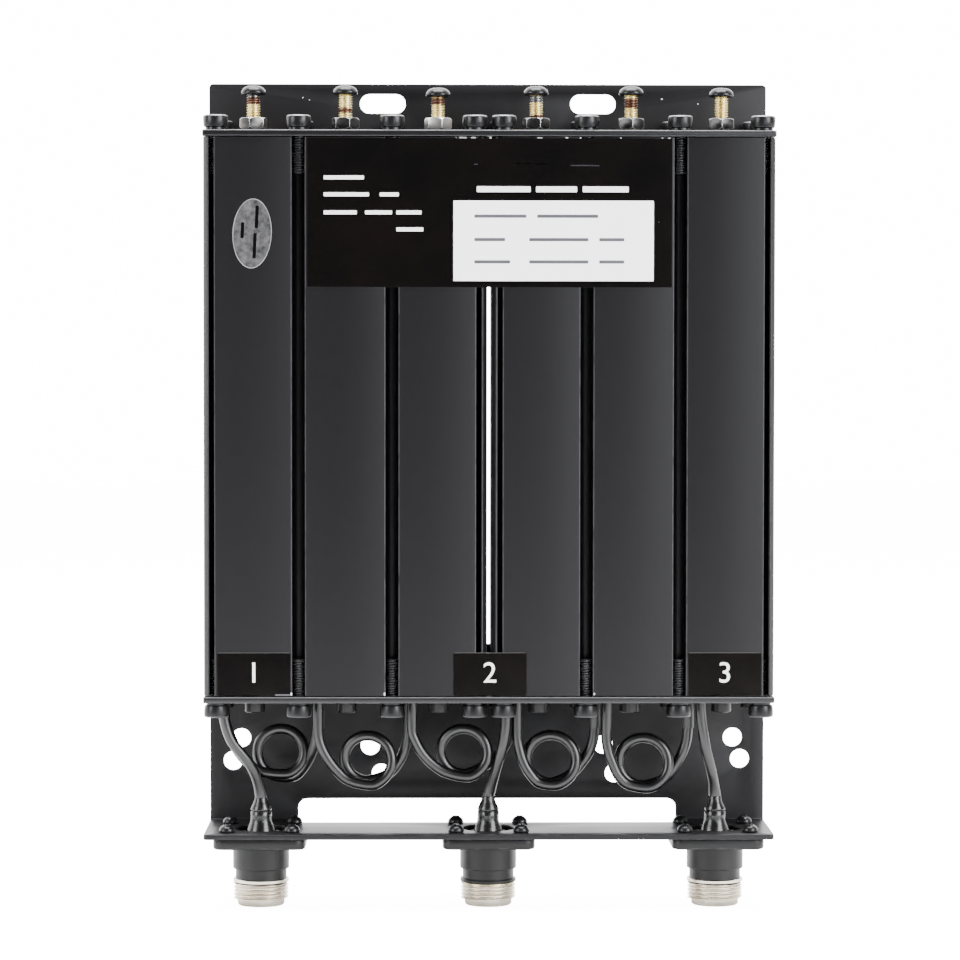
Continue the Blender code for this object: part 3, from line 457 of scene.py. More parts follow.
def turned(profile, sides=48, at=(0.0, 0.0, 0.0), into=None):
    """Spin a profile of (radius, height) points about an upright axis."""
    shape = into or bmesh.new()
    old = set(shape.verts)
    points = [shape.verts.new((radius, 0, height)) for radius, height in profile]
    edges = [shape.edges.new(pair) for pair in zip(points, points[1:])]
    bmesh.ops.spin(shape, geom=points + edges, cent=(0, 0, 0), axis=(0, 0, 1),
                   angle=math.tau, steps=sides, use_merge=True)
    new = [point for point in shape.verts if point not in old]
    bmesh.ops.remove_doubles(shape, verts=new, dist=0.0005)
    new = [point for point in shape.verts if point not in old]
    bmesh.ops.translate(shape, vec=at, verts=new)
    return shape


def move(shape, way):
    """Shift a whole shape."""
    bmesh.ops.translate(shape, vec=way, verts=shape.verts[:])


def join(shape, added):
    """Add one shape to another."""
    mesh = bpy.data.meshes.new("added")
    added.to_mesh(mesh)
    added.free()
    shape.from_mesh(mesh)
    bpy.data.meshes.remove(mesh)


# %% [markdown]
# Sharp corners are softened with small bevels, which mark their faces in an attribute called edge
# for the worn edges. The bevels could be a modifier, but then nothing would mark them. The finished
# piece is turned into metres, and its place is in its mesh, so its object stays at the origin.
# %% Helpers that finish a piece


def at_level(level, reach=0.01):
    """Choose the edges that lie at one level."""
    return lambda item: all(abs(point.co.z - level) < reach for point in item.verts)


def soften(shape, width, sharp=35.0, steps=2, chosen=None):
    """Round the sharp edges and mark the new faces for the worn edges."""
    edge = shape.loops.layers.float.get("edge") or shape.loops.layers.float.new("edge")
    edges = [item for item in shape.edges if len(item.link_faces) == 2
             and item.calc_face_angle(0) > math.radians(sharp)
             and (chosen is None or chosen(item))]
    made = bmesh.ops.bevel(shape, geom=edges, offset=width, offset_type="OFFSET",
                           segments=steps, profile=0.5, affect="EDGES", material=-1)
    for face in made["faces"]:
        for corner in face.loops:
            corner[edge] = 1.0
    return len(edges)


def piece(name, shape, material, body="chassis", stands_for=(), sharp=28.0):
    """Finish a shape as an object at the origin, with its place in its mesh."""
    bmesh.ops.remove_doubles(shape, verts=shape.verts[:], dist=0.0005)
    bmesh.ops.recalc_face_normals(shape, faces=shape.faces[:])
    bmesh.ops.scale(shape, vec=(MM, MM, MM), verts=shape.verts[:])
    mesh = bpy.data.meshes.new(name)
    shape.to_mesh(mesh)
    shape.free()
    mesh.shade_smooth()
    mesh.set_sharp_from_angle(angle=math.radians(sharp))
    for item in material if isinstance(material, (list, tuple)) else [material]:
        mesh.materials.append(item)
    made = new_object(name, mesh)
    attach(made, body)
    if stands_for:
        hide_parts(*([stands_for] if isinstance(stands_for, str) else stands_for))
    print(name, len(mesh.polygons), "faces")


# %% [markdown]
# The bracket is one sheet of 1.5 mm steel. A maker punches the flat blank first, with its slots,
# windows and holes, and folds the shelf afterwards. The fold could be modelled as two plates with a
# round bar between them, but folding the punched blank gives the true bend and lets the lower
# window run round it.
# %% Punch the bracket's blank
BODY_WIDTH = 160.0
SHEET = 1.5
REAR, SHELF_FRONT = 16.75, -16.75
SHELF_UNDERSIDE, BRACKET_TOP = 20.2, 233.7
BEND_RADIUS = 2.2
SOCKET_X, SOCKET_Y = (-64.5, 0.0, 64.5), -2.25
SLOT_X, SLOT_LEVEL, SLOT_LENGTH, SLOT_HEIGHT = 30.2, 228.1, 13.1, 5.6
SMALL_HOLE, SOCKET_HOLE = 5.5, 15.0
SMALL_HOLES = ((-71.0, 23.7), (-73.4, 17.1), (-33.8, 21.4), (-30.6, 13.4),
               (33.6, 21.7), (36.8, 13.4), (71.0, 23.8), (73.1, 17.6))
OPENING_LEVEL, OPENING_WIDTH, OPENING_HEIGHT = 138.6, 20.0, 132.0
WINDOW_FRONT, WINDOW_TOP, WINDOW_WIDTH = 9.55, 27.8, 109.2
BEND_START = REAR - BEND_RADIUS - SHELF_FRONT
BEND_END = BEND_START + BEND_RADIUS * math.pi / 2


def along(height):
    """How far up the flat blank a height on the back plate lies."""
    return BEND_END + height - (SHELF_UNDERSIDE + BEND_RADIUS)


blank = bmesh.new()
blank_height = along(BRACKET_TOP)
outline(blank, "square", (0, blank_height / 2), BODY_WIDTH, blank_height, 1.2)
for side in (-1, 1):
    outline(blank, "square", (side * SLOT_X, along(SLOT_LEVEL)), SLOT_LENGTH, SLOT_HEIGHT,
            2.79, 10)
for x, rise in SMALL_HOLES:
    outline(blank, "round", (x, along(SHELF_TOP + rise)), SMALL_HOLE)
outline(blank, "square", (0, along(OPENING_LEVEL)), OPENING_WIDTH, OPENING_HEIGHT, 4.0)
window_start, window_end = WINDOW_FRONT - SHELF_FRONT, along(WINDOW_TOP)
outline(blank, "square", (0, (window_start + window_end) / 2), WINDOW_WIDTH,
        window_end - window_start, 2.7, 8)
for x in SOCKET_X:
    outline(blank, "round", (x, SOCKET_Y - SHELF_FRONT), SOCKET_HOLE, sides=64)
punch(blank)
print("blank:", len(blank.faces), "faces,", round(blank_height, 1), "mm long")

# %% [markdown]
# Folding moves each point of the blank round the bend line: the shelf stays flat, the bend is cut
# into strips, and the rest turns upright. The sheet then gets its thickness towards the inside.
# %% Fold it and give it its thickness
BEND_STRIPS = 6

for strip in range(BEND_STRIPS + 1):
    line = BEND_START + (BEND_END - BEND_START) * strip / BEND_STRIPS
    bmesh.ops.bisect_plane(blank, geom=blank.verts[:] + blank.edges[:] + blank.faces[:],
                           dist=0.0001, plane_co=(0, line, 0), plane_no=(0, 1, 0))
for point in blank.verts:
    run = point.co.y
    turn = min(max(run - BEND_START, 0.0) / BEND_RADIUS, math.pi / 2)
    past = max(run - BEND_END, 0.0)
    point.co = (
        point.co.x, SHELF_FRONT + min(run, BEND_START) + BEND_RADIUS * math.sin(turn),
        SHELF_UNDERSIDE + BEND_RADIUS * (1 - math.cos(turn)) + past)
bmesh.ops.recalc_face_normals(blank, faces=blank.faces[:])
top_face = max(blank.faces, key=lambda face: face.calc_center_median().z)
if top_face.normal.y < 0:
    bmesh.ops.reverse_faces(blank, faces=blank.faces[:])
bmesh.ops.solidify(blank, geom=blank.faces[:], thickness=SHEET)
print("folded:", [round(min(p.co[i] for p in blank.verts), 2) for i in range(3)],
      [round(max(p.co[i] for p in blank.verts), 2) for i in range(3)])
soften(blank, 0.18, 50.0)
piece("bracket_sheet", blank, plate_paint, stands_for="bracket")

# %% [markdown]
# Each of the two blocks is an aluminium extrusion: three round bores behind a flat face with
# grooves, which the cover screws run into. Its section could be cut from a box with Booleans, but a
# press makes it in one stroke, and so does extruding a drawn section. The corners of the section
# are rounded later, and they are what catches the light along each groove. The outer lips of the
# two end channels slant back, so that they mirror the bright wall behind.
# %% Draw the section of a block
BLOCK_FRONT, BLOCK_REAR = -16.3, 14.95
BLOCK_BOTTOM, BLOCK_TOP = 60.65, 216.55
BLOCK_HALF = 39.6
BLOCK_CENTRES = (-40.25, 40.25)
CAVITY_PITCH, CAVITY_BORE = 26.1, 24.0
CAVITY_Y = (BLOCK_FRONT + BLOCK_REAR) / 2
GROOVE_WIDTH, GROOVE_DEPTH = 3.6, 6.0
CHANNEL_INSET, CHANNEL_SLOT = 3.4, 1.45
LIP_WIDTH, LIP_DEPTH = 1.3, 1.9
SCREW_DEPTH = 3.55


def arc(centre, radius, start, end, steps):
    """Points along an arc, from one angle to another in degrees."""
    angles = [math.radians(start + (end - start) * step / steps) for step in range(steps + 1)]
    return [(centre[0] + radius * math.cos(a), centre[1] + radius * math.sin(a)) for a in angles]


def block_outline():
    """Half a section, front side, from left to right, with the depth counted from the front."""
    radius = GROOVE_WIDTH / 2
    slot_start = CHANNEL_INSET - radius
    slot_end = slot_start + CHANNEL_SLOT
    meet = math.degrees(math.acos((slot_end - CHANNEL_INSET) / radius))
    left = [(-BLOCK_HALF, LIP_DEPTH), (-BLOCK_HALF + LIP_WIDTH, 0),
            (-BLOCK_HALF + slot_start, 0.1),
            *[(x - BLOCK_HALF, y) for x, y in
              arc((CHANNEL_INSET, SCREW_DEPTH), radius, 180, -meet, 22)],
            (-BLOCK_HALF + slot_end, 0)]
    grooves = []
    for side in (-1, 1):
        x = side * CAVITY_PITCH / 2
        grooves += [
            (x - radius, 0), *arc((x, GROOVE_DEPTH - radius), radius, 180, 0, 14), (x + radius, 0)]
    return left + grooves + [(-x, y) for x, y in reversed(left)]


section = block_outline()
print("section:", 2 * len(section), "points")

# %% [markdown]
# The section is one closed line with three round holes in it. It is filled, raised to the length of
# the block, and its long corners are softened.
# %% Extrude the two blocks
for name, centre in zip(("low_band", "high_band"), BLOCK_CENTRES):
    tube = bmesh.new()
    depth = BLOCK_REAR - BLOCK_FRONT
    rim = section + [(x, depth - y) for x, y in reversed(section)]
    points = [tube.verts.new((centre + x, BLOCK_FRONT + y, 0)) for x, y in rim]
    for start, end in zip(points, points[1:] + points[:1]):
        tube.edges.new((start, end))
    for step in (-1, 0, 1):
        outline(tube, "round", (centre + step * CAVITY_PITCH, CAVITY_Y), CAVITY_BORE, sides=64)
    punch(tube)
    raise_sheet(tube, BLOCK_BOTTOM, BLOCK_TOP)
    count = soften(tube, 0.3, 30.0, 3,
                   lambda item: abs(item.verts[0].co.z - item.verts[1].co.z) > 1
                   and item.calc_face_angle_signed(0) > 0)
    piece(f"{name}_extrusion", tube, tube_paint, stands_for=f"{name}_block")
    print(count, "corners softened")

# %% [markdown]
# The covers close both ends of the blocks. The top one has a hole for each tuning screw, the
# bottom one a hole for each rod's screw and a port for each pair of cables.
# %% Covers
COVER_REAR = 14.95
COVERS = {"top_cover": (216.85, 218.6), "bottom_cover": (58.6, 60.35)}
CAVITY_X = [centre + step * CAVITY_PITCH for centre in BLOCK_CENTRES for step in (-1, 0, 1)]
PORT_OFFSET, PORT_Y, PORT_HOLE = -8.0, -4.75, 9.4
TUNER_HOLE, ROD_SCREW_HOLE = 4.5, 3.0
TUNER_SHIFTS = dict(zip(CAVITY_X, (-0.1, -0.3, -0.2, -0.8, 0.0, -0.6)))

for name, (low, high) in COVERS.items():
    sheet = bmesh.new()
    middle = (COVER_FRONT + COVER_REAR) / 2
    outline(sheet, "square", (0, middle), BODY_WIDTH, COVER_REAR - COVER_FRONT, 0.6, 4)
    for x in CAVITY_X:
        if name == "bottom_cover":
            outline(sheet, "round", (x, CAVITY_Y), ROD_SCREW_HOLE, sides=32)
            outline(sheet, "round", (x + PORT_OFFSET, PORT_Y), PORT_HOLE)
        else:
            outline(sheet, "round", (x + TUNER_SHIFTS[x], CAVITY_Y), TUNER_HOLE, sides=32)
    punch(sheet)
    raise_sheet(sheet, low, high)
    soften(sheet, 0.4, 50.0, 4, at_level(high))
    soften(sheet, 0.2, 50.0, 2, at_level(low))
    piece(f"{name}_plate", sheet, cover_paint, stands_for=name)

# %% [markdown]
# Thirty-two cap screws hold the covers. Their heads are short cylinders with a hexagon socket, and
# their threads show in the open grooves. A thread could be faked with rings, but spinning one tooth
# while it moves along the axis gives the real helix for little more work.
# %% A helical thread


def trim(shape, place, way):
    """Cut away what lies past a plane, and close the cut."""
    cut = bmesh.ops.bisect_plane(
        shape, geom=shape.verts[:] + shape.edges[:] + shape.faces[:], dist=0.0001, plane_co=place,
        plane_no=way, clear_outer=True)["geom_cut"]
    rim = [item for item in cut if isinstance(item, bmesh.types.BMEdge)]
    bmesh.ops.holes_fill(shape, edges=rim, sides=0)


def thread(shape, at, diameter, pitch, low, high, sides=24, depth=None, index=0):
    """A thread on an upright axis, cut level at both ends."""
    depth = depth or 0.6 * pitch
    crest, root = diameter / 2, diameter / 2 - depth
    new = bmesh.new()
    tooth = [(root, 0), (crest, 0.38 * pitch), (crest, 0.56 * pitch), (root, 0.94 * pitch),
             (root, pitch)]
    points = [new.verts.new((radius, 0, height)) for radius, height in tooth]
    edges = [new.edges.new(pair) for pair in zip(points, points[1:])]
    turns = math.ceil((high - low) / pitch) + 2
    bmesh.ops.spin(new, geom=points + edges, cent=(0, 0, 0), axis=(0, 0, 1),
                   dvec=(0, 0, pitch / sides), angle=math.tau * turns, steps=sides * turns)
    move(new, (0, 0, low - pitch))
    bmesh.ops.remove_doubles(new, verts=new.verts[:], dist=0.001)
    for level, side in ((low, -1), (high, 1)):
        trim(new, (0, 0, level), (0, 0, side))
    move(new, at)
    for face in new.faces:
        face.material_index = index
    join(shape, new)


# %% [markdown]
# A cap screw's head is turned, and its socket is pressed in with a hexagon punch. The socket is
# inset from the top face and pushed down.
# %% Cap screws
SCREW_X = [centre + offset for centre in BLOCK_CENTRES
           for offset in (CHANNEL_INSET - BLOCK_HALF, -CAVITY_PITCH / 2, CAVITY_PITCH / 2,
                          BLOCK_HALF - CHANNEL_INSET)]
# The heads under the bottom cover take the darker steel, as painted shade.
HEAD_STEEL = {"top_cover": black_steel, "bottom_cover": shade_darkened_steel}
SCREW_ROWS = {"front": BLOCK_FRONT + SCREW_DEPTH, "rear": BLOCK_REAR - SCREW_DEPTH}
HEAD_TOP, SOCKET_FLOOR, HEXAGON_RADIUS = 4.2, 2.2, 1.5 / 0.866
SHANK, SHANK_START, SHANK_END, FINE_PITCH = 3.5, 1.0, 12.0, 0.7


def cap_screw(shape, x, y, seat, up):
    """One cap screw with its washer, its seat on a face that looks up (1) or down (-1)."""
    head = bmesh.new()
    turned([(2.2, 0.0), (2.75, 0.0), (2.8, 0.05), (2.8, 0.7), (2.75, 0.75), (3.0, 0.8),
            (3.25, 0.95), (3.35, 1.3), (3.48, 2.3), (3.5, 3.5), (3.45, 3.8), (3.33, 4.02),
            (3.13, 4.15), (2.85, HEAD_TOP), (2.3, HEAD_TOP)], 48, into=head)
    # The rim at the head's end is marked as an edge, so that the finish's edge colour paints a
    # highlight along it.
    rim = head.loops.layers.float.new("edge")
    for face in head.faces:
        for corner in face.loops:
            corner[rim] = float(face.calc_center_median().z > 3.75)
    rings = []
    for level, filled in ((HEAD_TOP, False), (SOCKET_FLOOR, True)):
        rings += bmesh.ops.create_circle(
            head, cap_ends=filled, segments=6, radius=HEXAGON_RADIUS,
            matrix=Matrix.Translation((0, 0, level)))["verts"]
    hexagon = {edge for point in rings for edge in point.link_edges}
    bmesh.ops.bridge_loops(head, edges=list(hexagon))
    top = at_level(HEAD_TOP, 0.001)
    outer = [edge for edge in head.edges if edge.is_boundary and top(edge)]
    bmesh.ops.triangle_fill(head, use_beauty=True, edges=outer, normal=(0, 0, 1))
    bmesh.ops.scale(head, vec=(1, 1, up), verts=head.verts[:])
    move(head, (x, y, seat))
    bmesh.ops.recalc_face_normals(head, faces=head.faces[:])
    join(shape, head)
    ends = sorted((seat - SHANK_START * up, seat - SHANK_END * up))
    thread(shape, (x, y, 0), SHANK, FINE_PITCH, *ends, sides=20, index=1)


for name, (low, high) in COVERS.items():
    up = 1 if name == "top_cover" else -1
    seat = high if up > 0 else low
    for row, y in SCREW_ROWS.items():
        screws = bmesh.new()
        for x in SCREW_X:
            cap_screw(screws, x, y, seat, up)
        piece(f"{name}_{row}_screws", screws, [HEAD_STEEL[name], shank_steel],
              sharp=32)

# %% [markdown]
# Each tuner is a brass screw with a blackened pan head. It turns in the cover and in a lock nut,
# and it carries a disc on its inner end. Nut and washer stay, the screw turns, so they are separate
# pieces and ride on different bodies.
# %% Tuning screws and discs
TUNER_SETTINGS = (0.0, 0.1, -0.5, 0.0, 0.0, -0.4)
HEAD_UNDERSIDE = 229.3
STEM, STEM_LENGTH = 3.9, 21.1
DISC, DISC_THICKNESS, DISC_GAP = 12.0, 1.5, 0.3
TUNER_X = [x + shift for x, shift in TUNER_SHIFTS.items()]
NUT_TURNS = (16.7, 49.0, 46.0, 46.9, 32.8, 28.4)
STAINS = {
    1: ((226.6, 228.5, 1), (228.5, 229.3, 2)), 2: ((224.3, 225.5, 1),), 3: ((226.6, 228.4, 1),),
    4: ((227.2, 229.1, 2), (219.0, 223.6, 1)), 5: ((225.7, 228.3, 1),), 6: ()}

for number, x in enumerate(TUNER_X, start=1):
    base = HEAD_UNDERSIDE + TUNER_SETTINGS[number - 1]
    head = turned([(0.0, 0.0), (2.9, 0.0), (3.25, 0.05), (3.45, 0.2), (3.55, 0.5), (3.5, 0.85),
                   (3.36, 1.2), (3.12, 1.6), (2.75, 1.98), (2.2, 2.3), (1.5, 2.52), (0.8, 2.6),
                   (0.7, 1.6), (0.0, 1.6)], 48, (x, CAVITY_Y, base))
    piece(f"tuner_head_{number}", head, black_steel, f"tuner_{number}_screw",
          sharp=38)
    stem = bmesh.new()
    thread(stem, (x, CAVITY_Y, 0), STEM, FINE_PITCH, base - STEM_LENGTH, base - 0.05, sides=32)
    for face in stem.faces:
        level = face.calc_center_median().z
        for low, high, index in STAINS[number]:
            face.material_index = index if low < level < high else face.material_index
    piece(f"tuner_stem_{number}", stem, [brass, stained_brass, thread_steel],
          f"tuner_{number}_screw", stands_for=f"tuning_screw_{number}", sharp=25)
    disc = bmesh.new()
    outline(disc, "round", (x, CAVITY_Y), DISC, sides=64)
    disc_top = base - STEM_LENGTH - DISC_GAP
    raise_sheet(disc, disc_top - DISC_THICKNESS, disc_top)
    soften(disc, 0.15, 50.0)
    piece(f"tuner_disc_{number}", disc, copper, f"tuner_{number}_carrier",
          stands_for=f"tuning_disc_{number}")

# %% [markdown]
# A lock nut is a hexagon whose corners are cut by a cone, which leaves curved edges on its flats.
# The cone could be a Boolean, but bisecting the hexagon with a plane at each corner gives nearly
# the same edge with a clean mesh.
# %% Lock nuts and washers
NUT_LOW, NUT_HIGH, NUT_ACROSS, NUT_BORE = 219.65, 222.85, 7.0, 4.1
NUT_STEEL = {1: grey_nut_steel, 3: bright_nut_steel}


def hexagon_nut(x, turn):
    """A lock nut on a tuner's axis, its corners cut at both ends."""
    nut = bmesh.new()
    outline(nut, "round", (0, 0), NUT_ACROSS / math.cos(math.pi / 6), sides=6, turn=30)
    outline(nut, "round", (0, 0), NUT_BORE, sides=32)
    punch(nut)
    raise_sheet(nut, NUT_LOW, NUT_HIGH)
    for corner in range(6):
        angle = math.radians(60 * corner)
        for level, side in ((NUT_HIGH, 1), (NUT_LOW, -1)):
            tilt = Vector((math.cos(angle), math.sin(angle), side)).normalized()
            point = Vector((math.cos(angle), math.sin(angle), 0)) * (NUT_ACROSS / 2 + 0.02)
            point.z = level
            trim(nut, point, tilt)
    soften(nut, 0.11, 25.0)
    bmesh.ops.rotate(nut, cent=(0, 0, 0), matrix=Matrix.Rotation(math.radians(turn), 3, "Z"),
                     verts=nut.verts[:])
    move(nut, (x, CAVITY_Y, 0))
    return nut


for number, x in enumerate(TUNER_X, start=1):
    piece(f"tuner_nut_{number}", hexagon_nut(x, NUT_TURNS[number - 1]),
          NUT_STEEL.get(number, dark_nut_steel), stands_for=f"lock_nut_{number}")
    washer = turned([(2.15, 218.65), (3.75, 218.65), (3.8, 218.7), (3.8, 219.4), (3.75, 219.45),
                     (2.15, 219.45), (2.15, 218.65)], 48, (x, CAVITY_Y, 0))
    piece(f"tuner_washer_{number}", washer, black_steel)

# %% [markdown]
# The three sockets are the standard threaded coaxial kind. Flange and barrel are painted with the
# rest, and the thread is left bare nickel. Painted and bare parts could share one mesh with two
# materials, but they are turned as two pieces, because the paint ends at a turned shoulder.
# %% Socket flanges and barrels
FLANGE_LOW, FLANGE_HIGH, FLANGE = 17.1, 19.9, 26.0
SOCKETS = dict(zip(("low_band", "antenna", "high_band"), SOCKET_X))

for name, x in SOCKETS.items():
    flange = bmesh.new()
    outline(flange, "square", (x, SOCKET_Y), FLANGE, FLANGE, 3.0, 6)
    punch(flange)
    raise_sheet(flange, FLANGE_LOW, FLANGE_HIGH)
    soften(flange, 0.6, 50.0, 2, at_level(FLANGE_LOW))
    soften(flange, 0.15, 50.0, 2, at_level(FLANGE_HIGH))
    turned([(0.0, FLANGE_LOW + 0.3), (8.0, FLANGE_LOW + 0.3), (8.0, 10.7), (7.85, 10.45),
            (7.7, 10.4), (7.3, 10.4), (7.25, 10.35), (7.25, 7.6), (0.0, 7.6)], 64,
           (x, SOCKET_Y, 0), into=flange)
    piece(f"{name}_flange", flange, socket_paint, stands_for=f"{name}_socket")

# %% [markdown]
# Below the paint come a shoulder, the thread of 24 turns to the inch, and a plain end ring. The
# inside is bored out, with a white insulator and a gilt contact.
# %% Socket noses, insulators and contacts
NOSE, NOSE_PITCH, NOSE_THREAD = 15.5, 1.058, (1.9, 6.3)

for name, x in SOCKETS.items():
    nose = turned(
        [(7.0, 7.6), (7.75, 7.6), (7.9, 7.45), (7.9, 6.75), (7.8, 6.65), (7.25, 6.6), (7.25, 6.42),
        (7.25, 6.3), (7.0, 6.2), (7.0, 2.1), (6.75, 2.0), (6.65, 1.9), (6.65, 0.5), (6.55, 0.2),
        (6.3, 0.0), (4.4, 0.0), (4.2, 0.2), (4.2, 8.9), (1.9, 8.9), (1.9, 12.0)], 64,
        (x, SOCKET_Y, 0))
    for face in nose.faces:
        middle = face.calc_center_median()
        if math.hypot(middle.x - x, middle.y - SOCKET_Y) > 6.9 and middle.z > 6.25:
            painted = middle.z < 6.72 or name == "antenna"
            face.material_index = 2 if middle.z < 6.4 and name == "antenna" else int(painted)
    thread(nose, (x, SOCKET_Y, 0), NOSE, NOSE_PITCH, *NOSE_THREAD, sides=64, depth=0.62)
    piece(f"{name}_nose", nose, [nickel, socket_paint, brass], sharp=25)
    core = turned([(1.85, 5.8), (3.7, 5.8), (3.9, 6.0), (3.9, 8.7), (1.85, 8.7), (1.85, 5.8)],
                  48, (x, SOCKET_Y, 0))
    piece(f"{name}_core", core, resin, stands_for=f"{name}_insulator")
    pin = turned([(0.75, 4.8), (1.15, 4.8), (1.3, 4.95), (1.3, 19.8), (0.75, 19.8),
                  (0.75, 4.8)], 32, (x, SOCKET_Y, 0))
    piece(f"{name}_pin", pin, gilt, stands_for=f"{name}_contact")

# %% [markdown]
# Four small pan-head screws hold each flange to the shelf from above. They are glossier than the
# cap screws and have a cross recess.
# %% Flange screws
FLANGE_SCREW_HALF = 9.15
PAN_HEAD, PAN_HEIGHT, PAN_RIM = 4.5, 2.2, 0.35


def pan_screw(shape, x, y, turn):
    """A pan-head screw on the shelf, with a cross recess."""
    radius = PAN_HEAD / 2
    dome = [(radius * math.cos(math.radians(a)),
             PAN_RIM + (PAN_HEIGHT - PAN_RIM) * math.sin(math.radians(a)))
            for a in range(0, 81, 10)]
    head = turned([(0.0, 0.0), (radius - 0.25, 0.0), (radius - 0.05, 0.12), *dome,
                   (0.28, PAN_HEIGHT), (0.0, PAN_HEIGHT)], 40)
    for angle in (turn, turn + 90):
        bmesh.ops.create_cube(head, size=1.0, matrix=(
            Matrix.Translation((0, 0, PAN_HEIGHT - 0.12))
            @ Matrix.Rotation(math.radians(angle), 4, "Z")
            @ Matrix.Diagonal((PAN_HEAD * 0.46, PAN_HEAD * 0.09, 0.3, 1))))
    move(head, (x, y, SHELF_TOP + 0.05))
    join(shape, head)


for name, x in SOCKETS.items():
    screws = bmesh.new()
    for index, (a, b) in enumerate(((-1, -1), (1, -1), (-1, 1), (1, 1))):
        pan_screw(screws, x + a * FLANGE_SCREW_HALF, SOCKET_Y + b * FLANGE_SCREW_HALF,
                  20 + 37 * index)
    piece(f"{name}_flange_screws", screws, black_steel, sharp=32)

# %% [markdown]
# Where a cable meets its socket, a shrunk sleeve covers the joint. It shows what is under it: a
# flare over the solder, a band over the braid and a narrow neck on the cable. It could be a cone,
# but a spun profile with these steps is what makes it look shrunk.
# %% Boots
BOOT_HEIGHTS = {"low_band": 10.2, "antenna": 10.6, "high_band": 10.6}

for name, x in SOCKETS.items():
    tall = BOOT_HEIGHTS[name]
    profile = [
        (4.25, 0.0), (4.2, 0.4), (4.0, 1.2), (3.62, 2.2), (3.25, 3.1), (3.07, 3.8), (3.05, 5.0),
        (3.08, 6.2), (2.9, 6.36), (2.9, 6.46), (3.0, 6.6), (2.98, 7.1), (2.66, 7.9), (2.3, 8.7),
        (2.02, 9.3), (1.93, 9.8), (1.9, tall - 0.1), (1.84, tall), (1.5, tall + 0.02)]
    boot = turned(profile, 40, (x, SOCKET_Y, SHELF_UNDERSIDE))
    for point in boot.verts:
        level = point.co.z - SHELF_UNDERSIDE
        angle = math.atan2(point.co.y - SOCKET_Y, point.co.x - x)
        swell = 0.04 * math.sin(3 * angle + 1.3 * level) + 0.02 * math.sin(5 * angle - 2.1 * level)
        fade = max(0.0, min(1.0, level / 1.5)) * max(0.0, min(1.0, (tall - level) / 2.5))
        side = Vector((math.cos(angle), math.sin(angle), 0))
        point.co += side * swell * fade
    piece(f"{name}_boot_skin", boot, shrink_sleeve, stands_for=f"{name}_boot",
          sharp=60)

# %% [markdown]
# Short sleeves cover the ends of the loops where they leave the bottom cover. Each could be a
# thicker stretch of its cable, but a spun tube of its own gives it a crisp lower rim.
# %% Sleeves on the loops' tails
SLEEVE_LOW, SLEEVE_HIGH = 50.2, 59.9

for number, route in enumerate(LOOPS, start=1):
    x, depth, _ = route[-1]
    sleeve = turned(
        [(1.52, SLEEVE_LOW), (1.62, SLEEVE_LOW), (1.66, SLEEVE_LOW + 0.1), (1.66, SLEEVE_HIGH),
        (1.52, SLEEVE_HIGH), (1.52, SLEEVE_LOW)], 32, (x, COVER_FRONT + depth, 0))
    piece(f"tail_sleeve_{number}", sleeve, sleeve_matt, sharp=50)

# %% [markdown]
# Inside the blocks stand six copper rods, each held by a screw whose head shows under the bottom
# cover. Above each port a bent strip couples the cables to its cavity. The rods and strips hardly
# show, but the model can be opened, so they get their metal.
# %% Rods, their screws and the coupling strips
ROD_FOOT, ROD_TOP, ROD_RADIUS = 60.65, 199.65, 4.0

for number, x in enumerate(CAVITY_X, start=1):
    rod = turned([(0.0, ROD_FOOT), (ROD_RADIUS, ROD_FOOT), (ROD_RADIUS, ROD_TOP - 0.3),
                  (ROD_RADIUS - 0.3, ROD_TOP), (0.0, ROD_TOP)], 48, (x, CAVITY_Y, 0))
    piece(f"rod_{number}", rod, copper, stands_for=f"resonator_rod_{number}")
    screw = turned([(0.0, 56.2), (1.3, 56.2), (1.3, 54.5), (2.3, 54.5), (2.62, 54.6),
                    (2.8, 54.8), (2.85, 55.1), (2.85, 58.2), (2.75, 58.3), (1.2, 58.3),
                    (1.2, 60.35), (0.0, 60.35)], 48, (x, CAVITY_Y, 0))
    # The rods' screw heads under the cover take the darker steel too, as painted shade.
    piece(f"rod_screw_{number}", screw, shade_darkened_steel, sharp=32)
    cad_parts[f"coupling_loop_{number}"].material_slots[0].material = copper

# %% [markdown]
# The labels are thin films on the front faces. Each is a sheet with softened rims that stands where
# its solid does. Printing on them is shown by plain bars and numerals, as thin raised film.
# %% Labels
FILM, STICKER = (-16.5, -16.35), (-16.7, -16.55)
PORT_LABEL_X = (-65.8, 0.2, 66.0)
LABELS = {
    "main_label": ((0.0, 195.55), 101.6, 41.4, FILM, gloss_film, "gloss_label"),
    "value_sticker": ((17.8, 187.75), 55.8, 22.35, STICKER, white_film, "white_sticker")}
for number, x in enumerate(PORT_LABEL_X, start=1):
    LABELS[f"port_label_{number}"] = (x, 66.75), 20.5, 12.0, FILM, gloss_film, "gloss_label"
UPRIGHT = Matrix.Rotation(math.radians(90), 3, "X")


def stand_up(shape):
    """Turn a sheet drawn in X and Z into one that faces the front."""
    bmesh.ops.rotate(shape, cent=(0, 0, 0), matrix=UPRIGHT, verts=shape.verts[:])


for name, (centre, width, height, (front, back), material, slot) in LABELS.items():
    film = bmesh.new()
    outline(film, "square", centre, width, height, 0.5 if height < 15 else 0.15, 3)
    raise_sheet(film, -back, -front)
    stand_up(film)
    soften(film, 0.04, 50.0, 1)
    piece(f"{name}_film", film, material, stands_for=name)

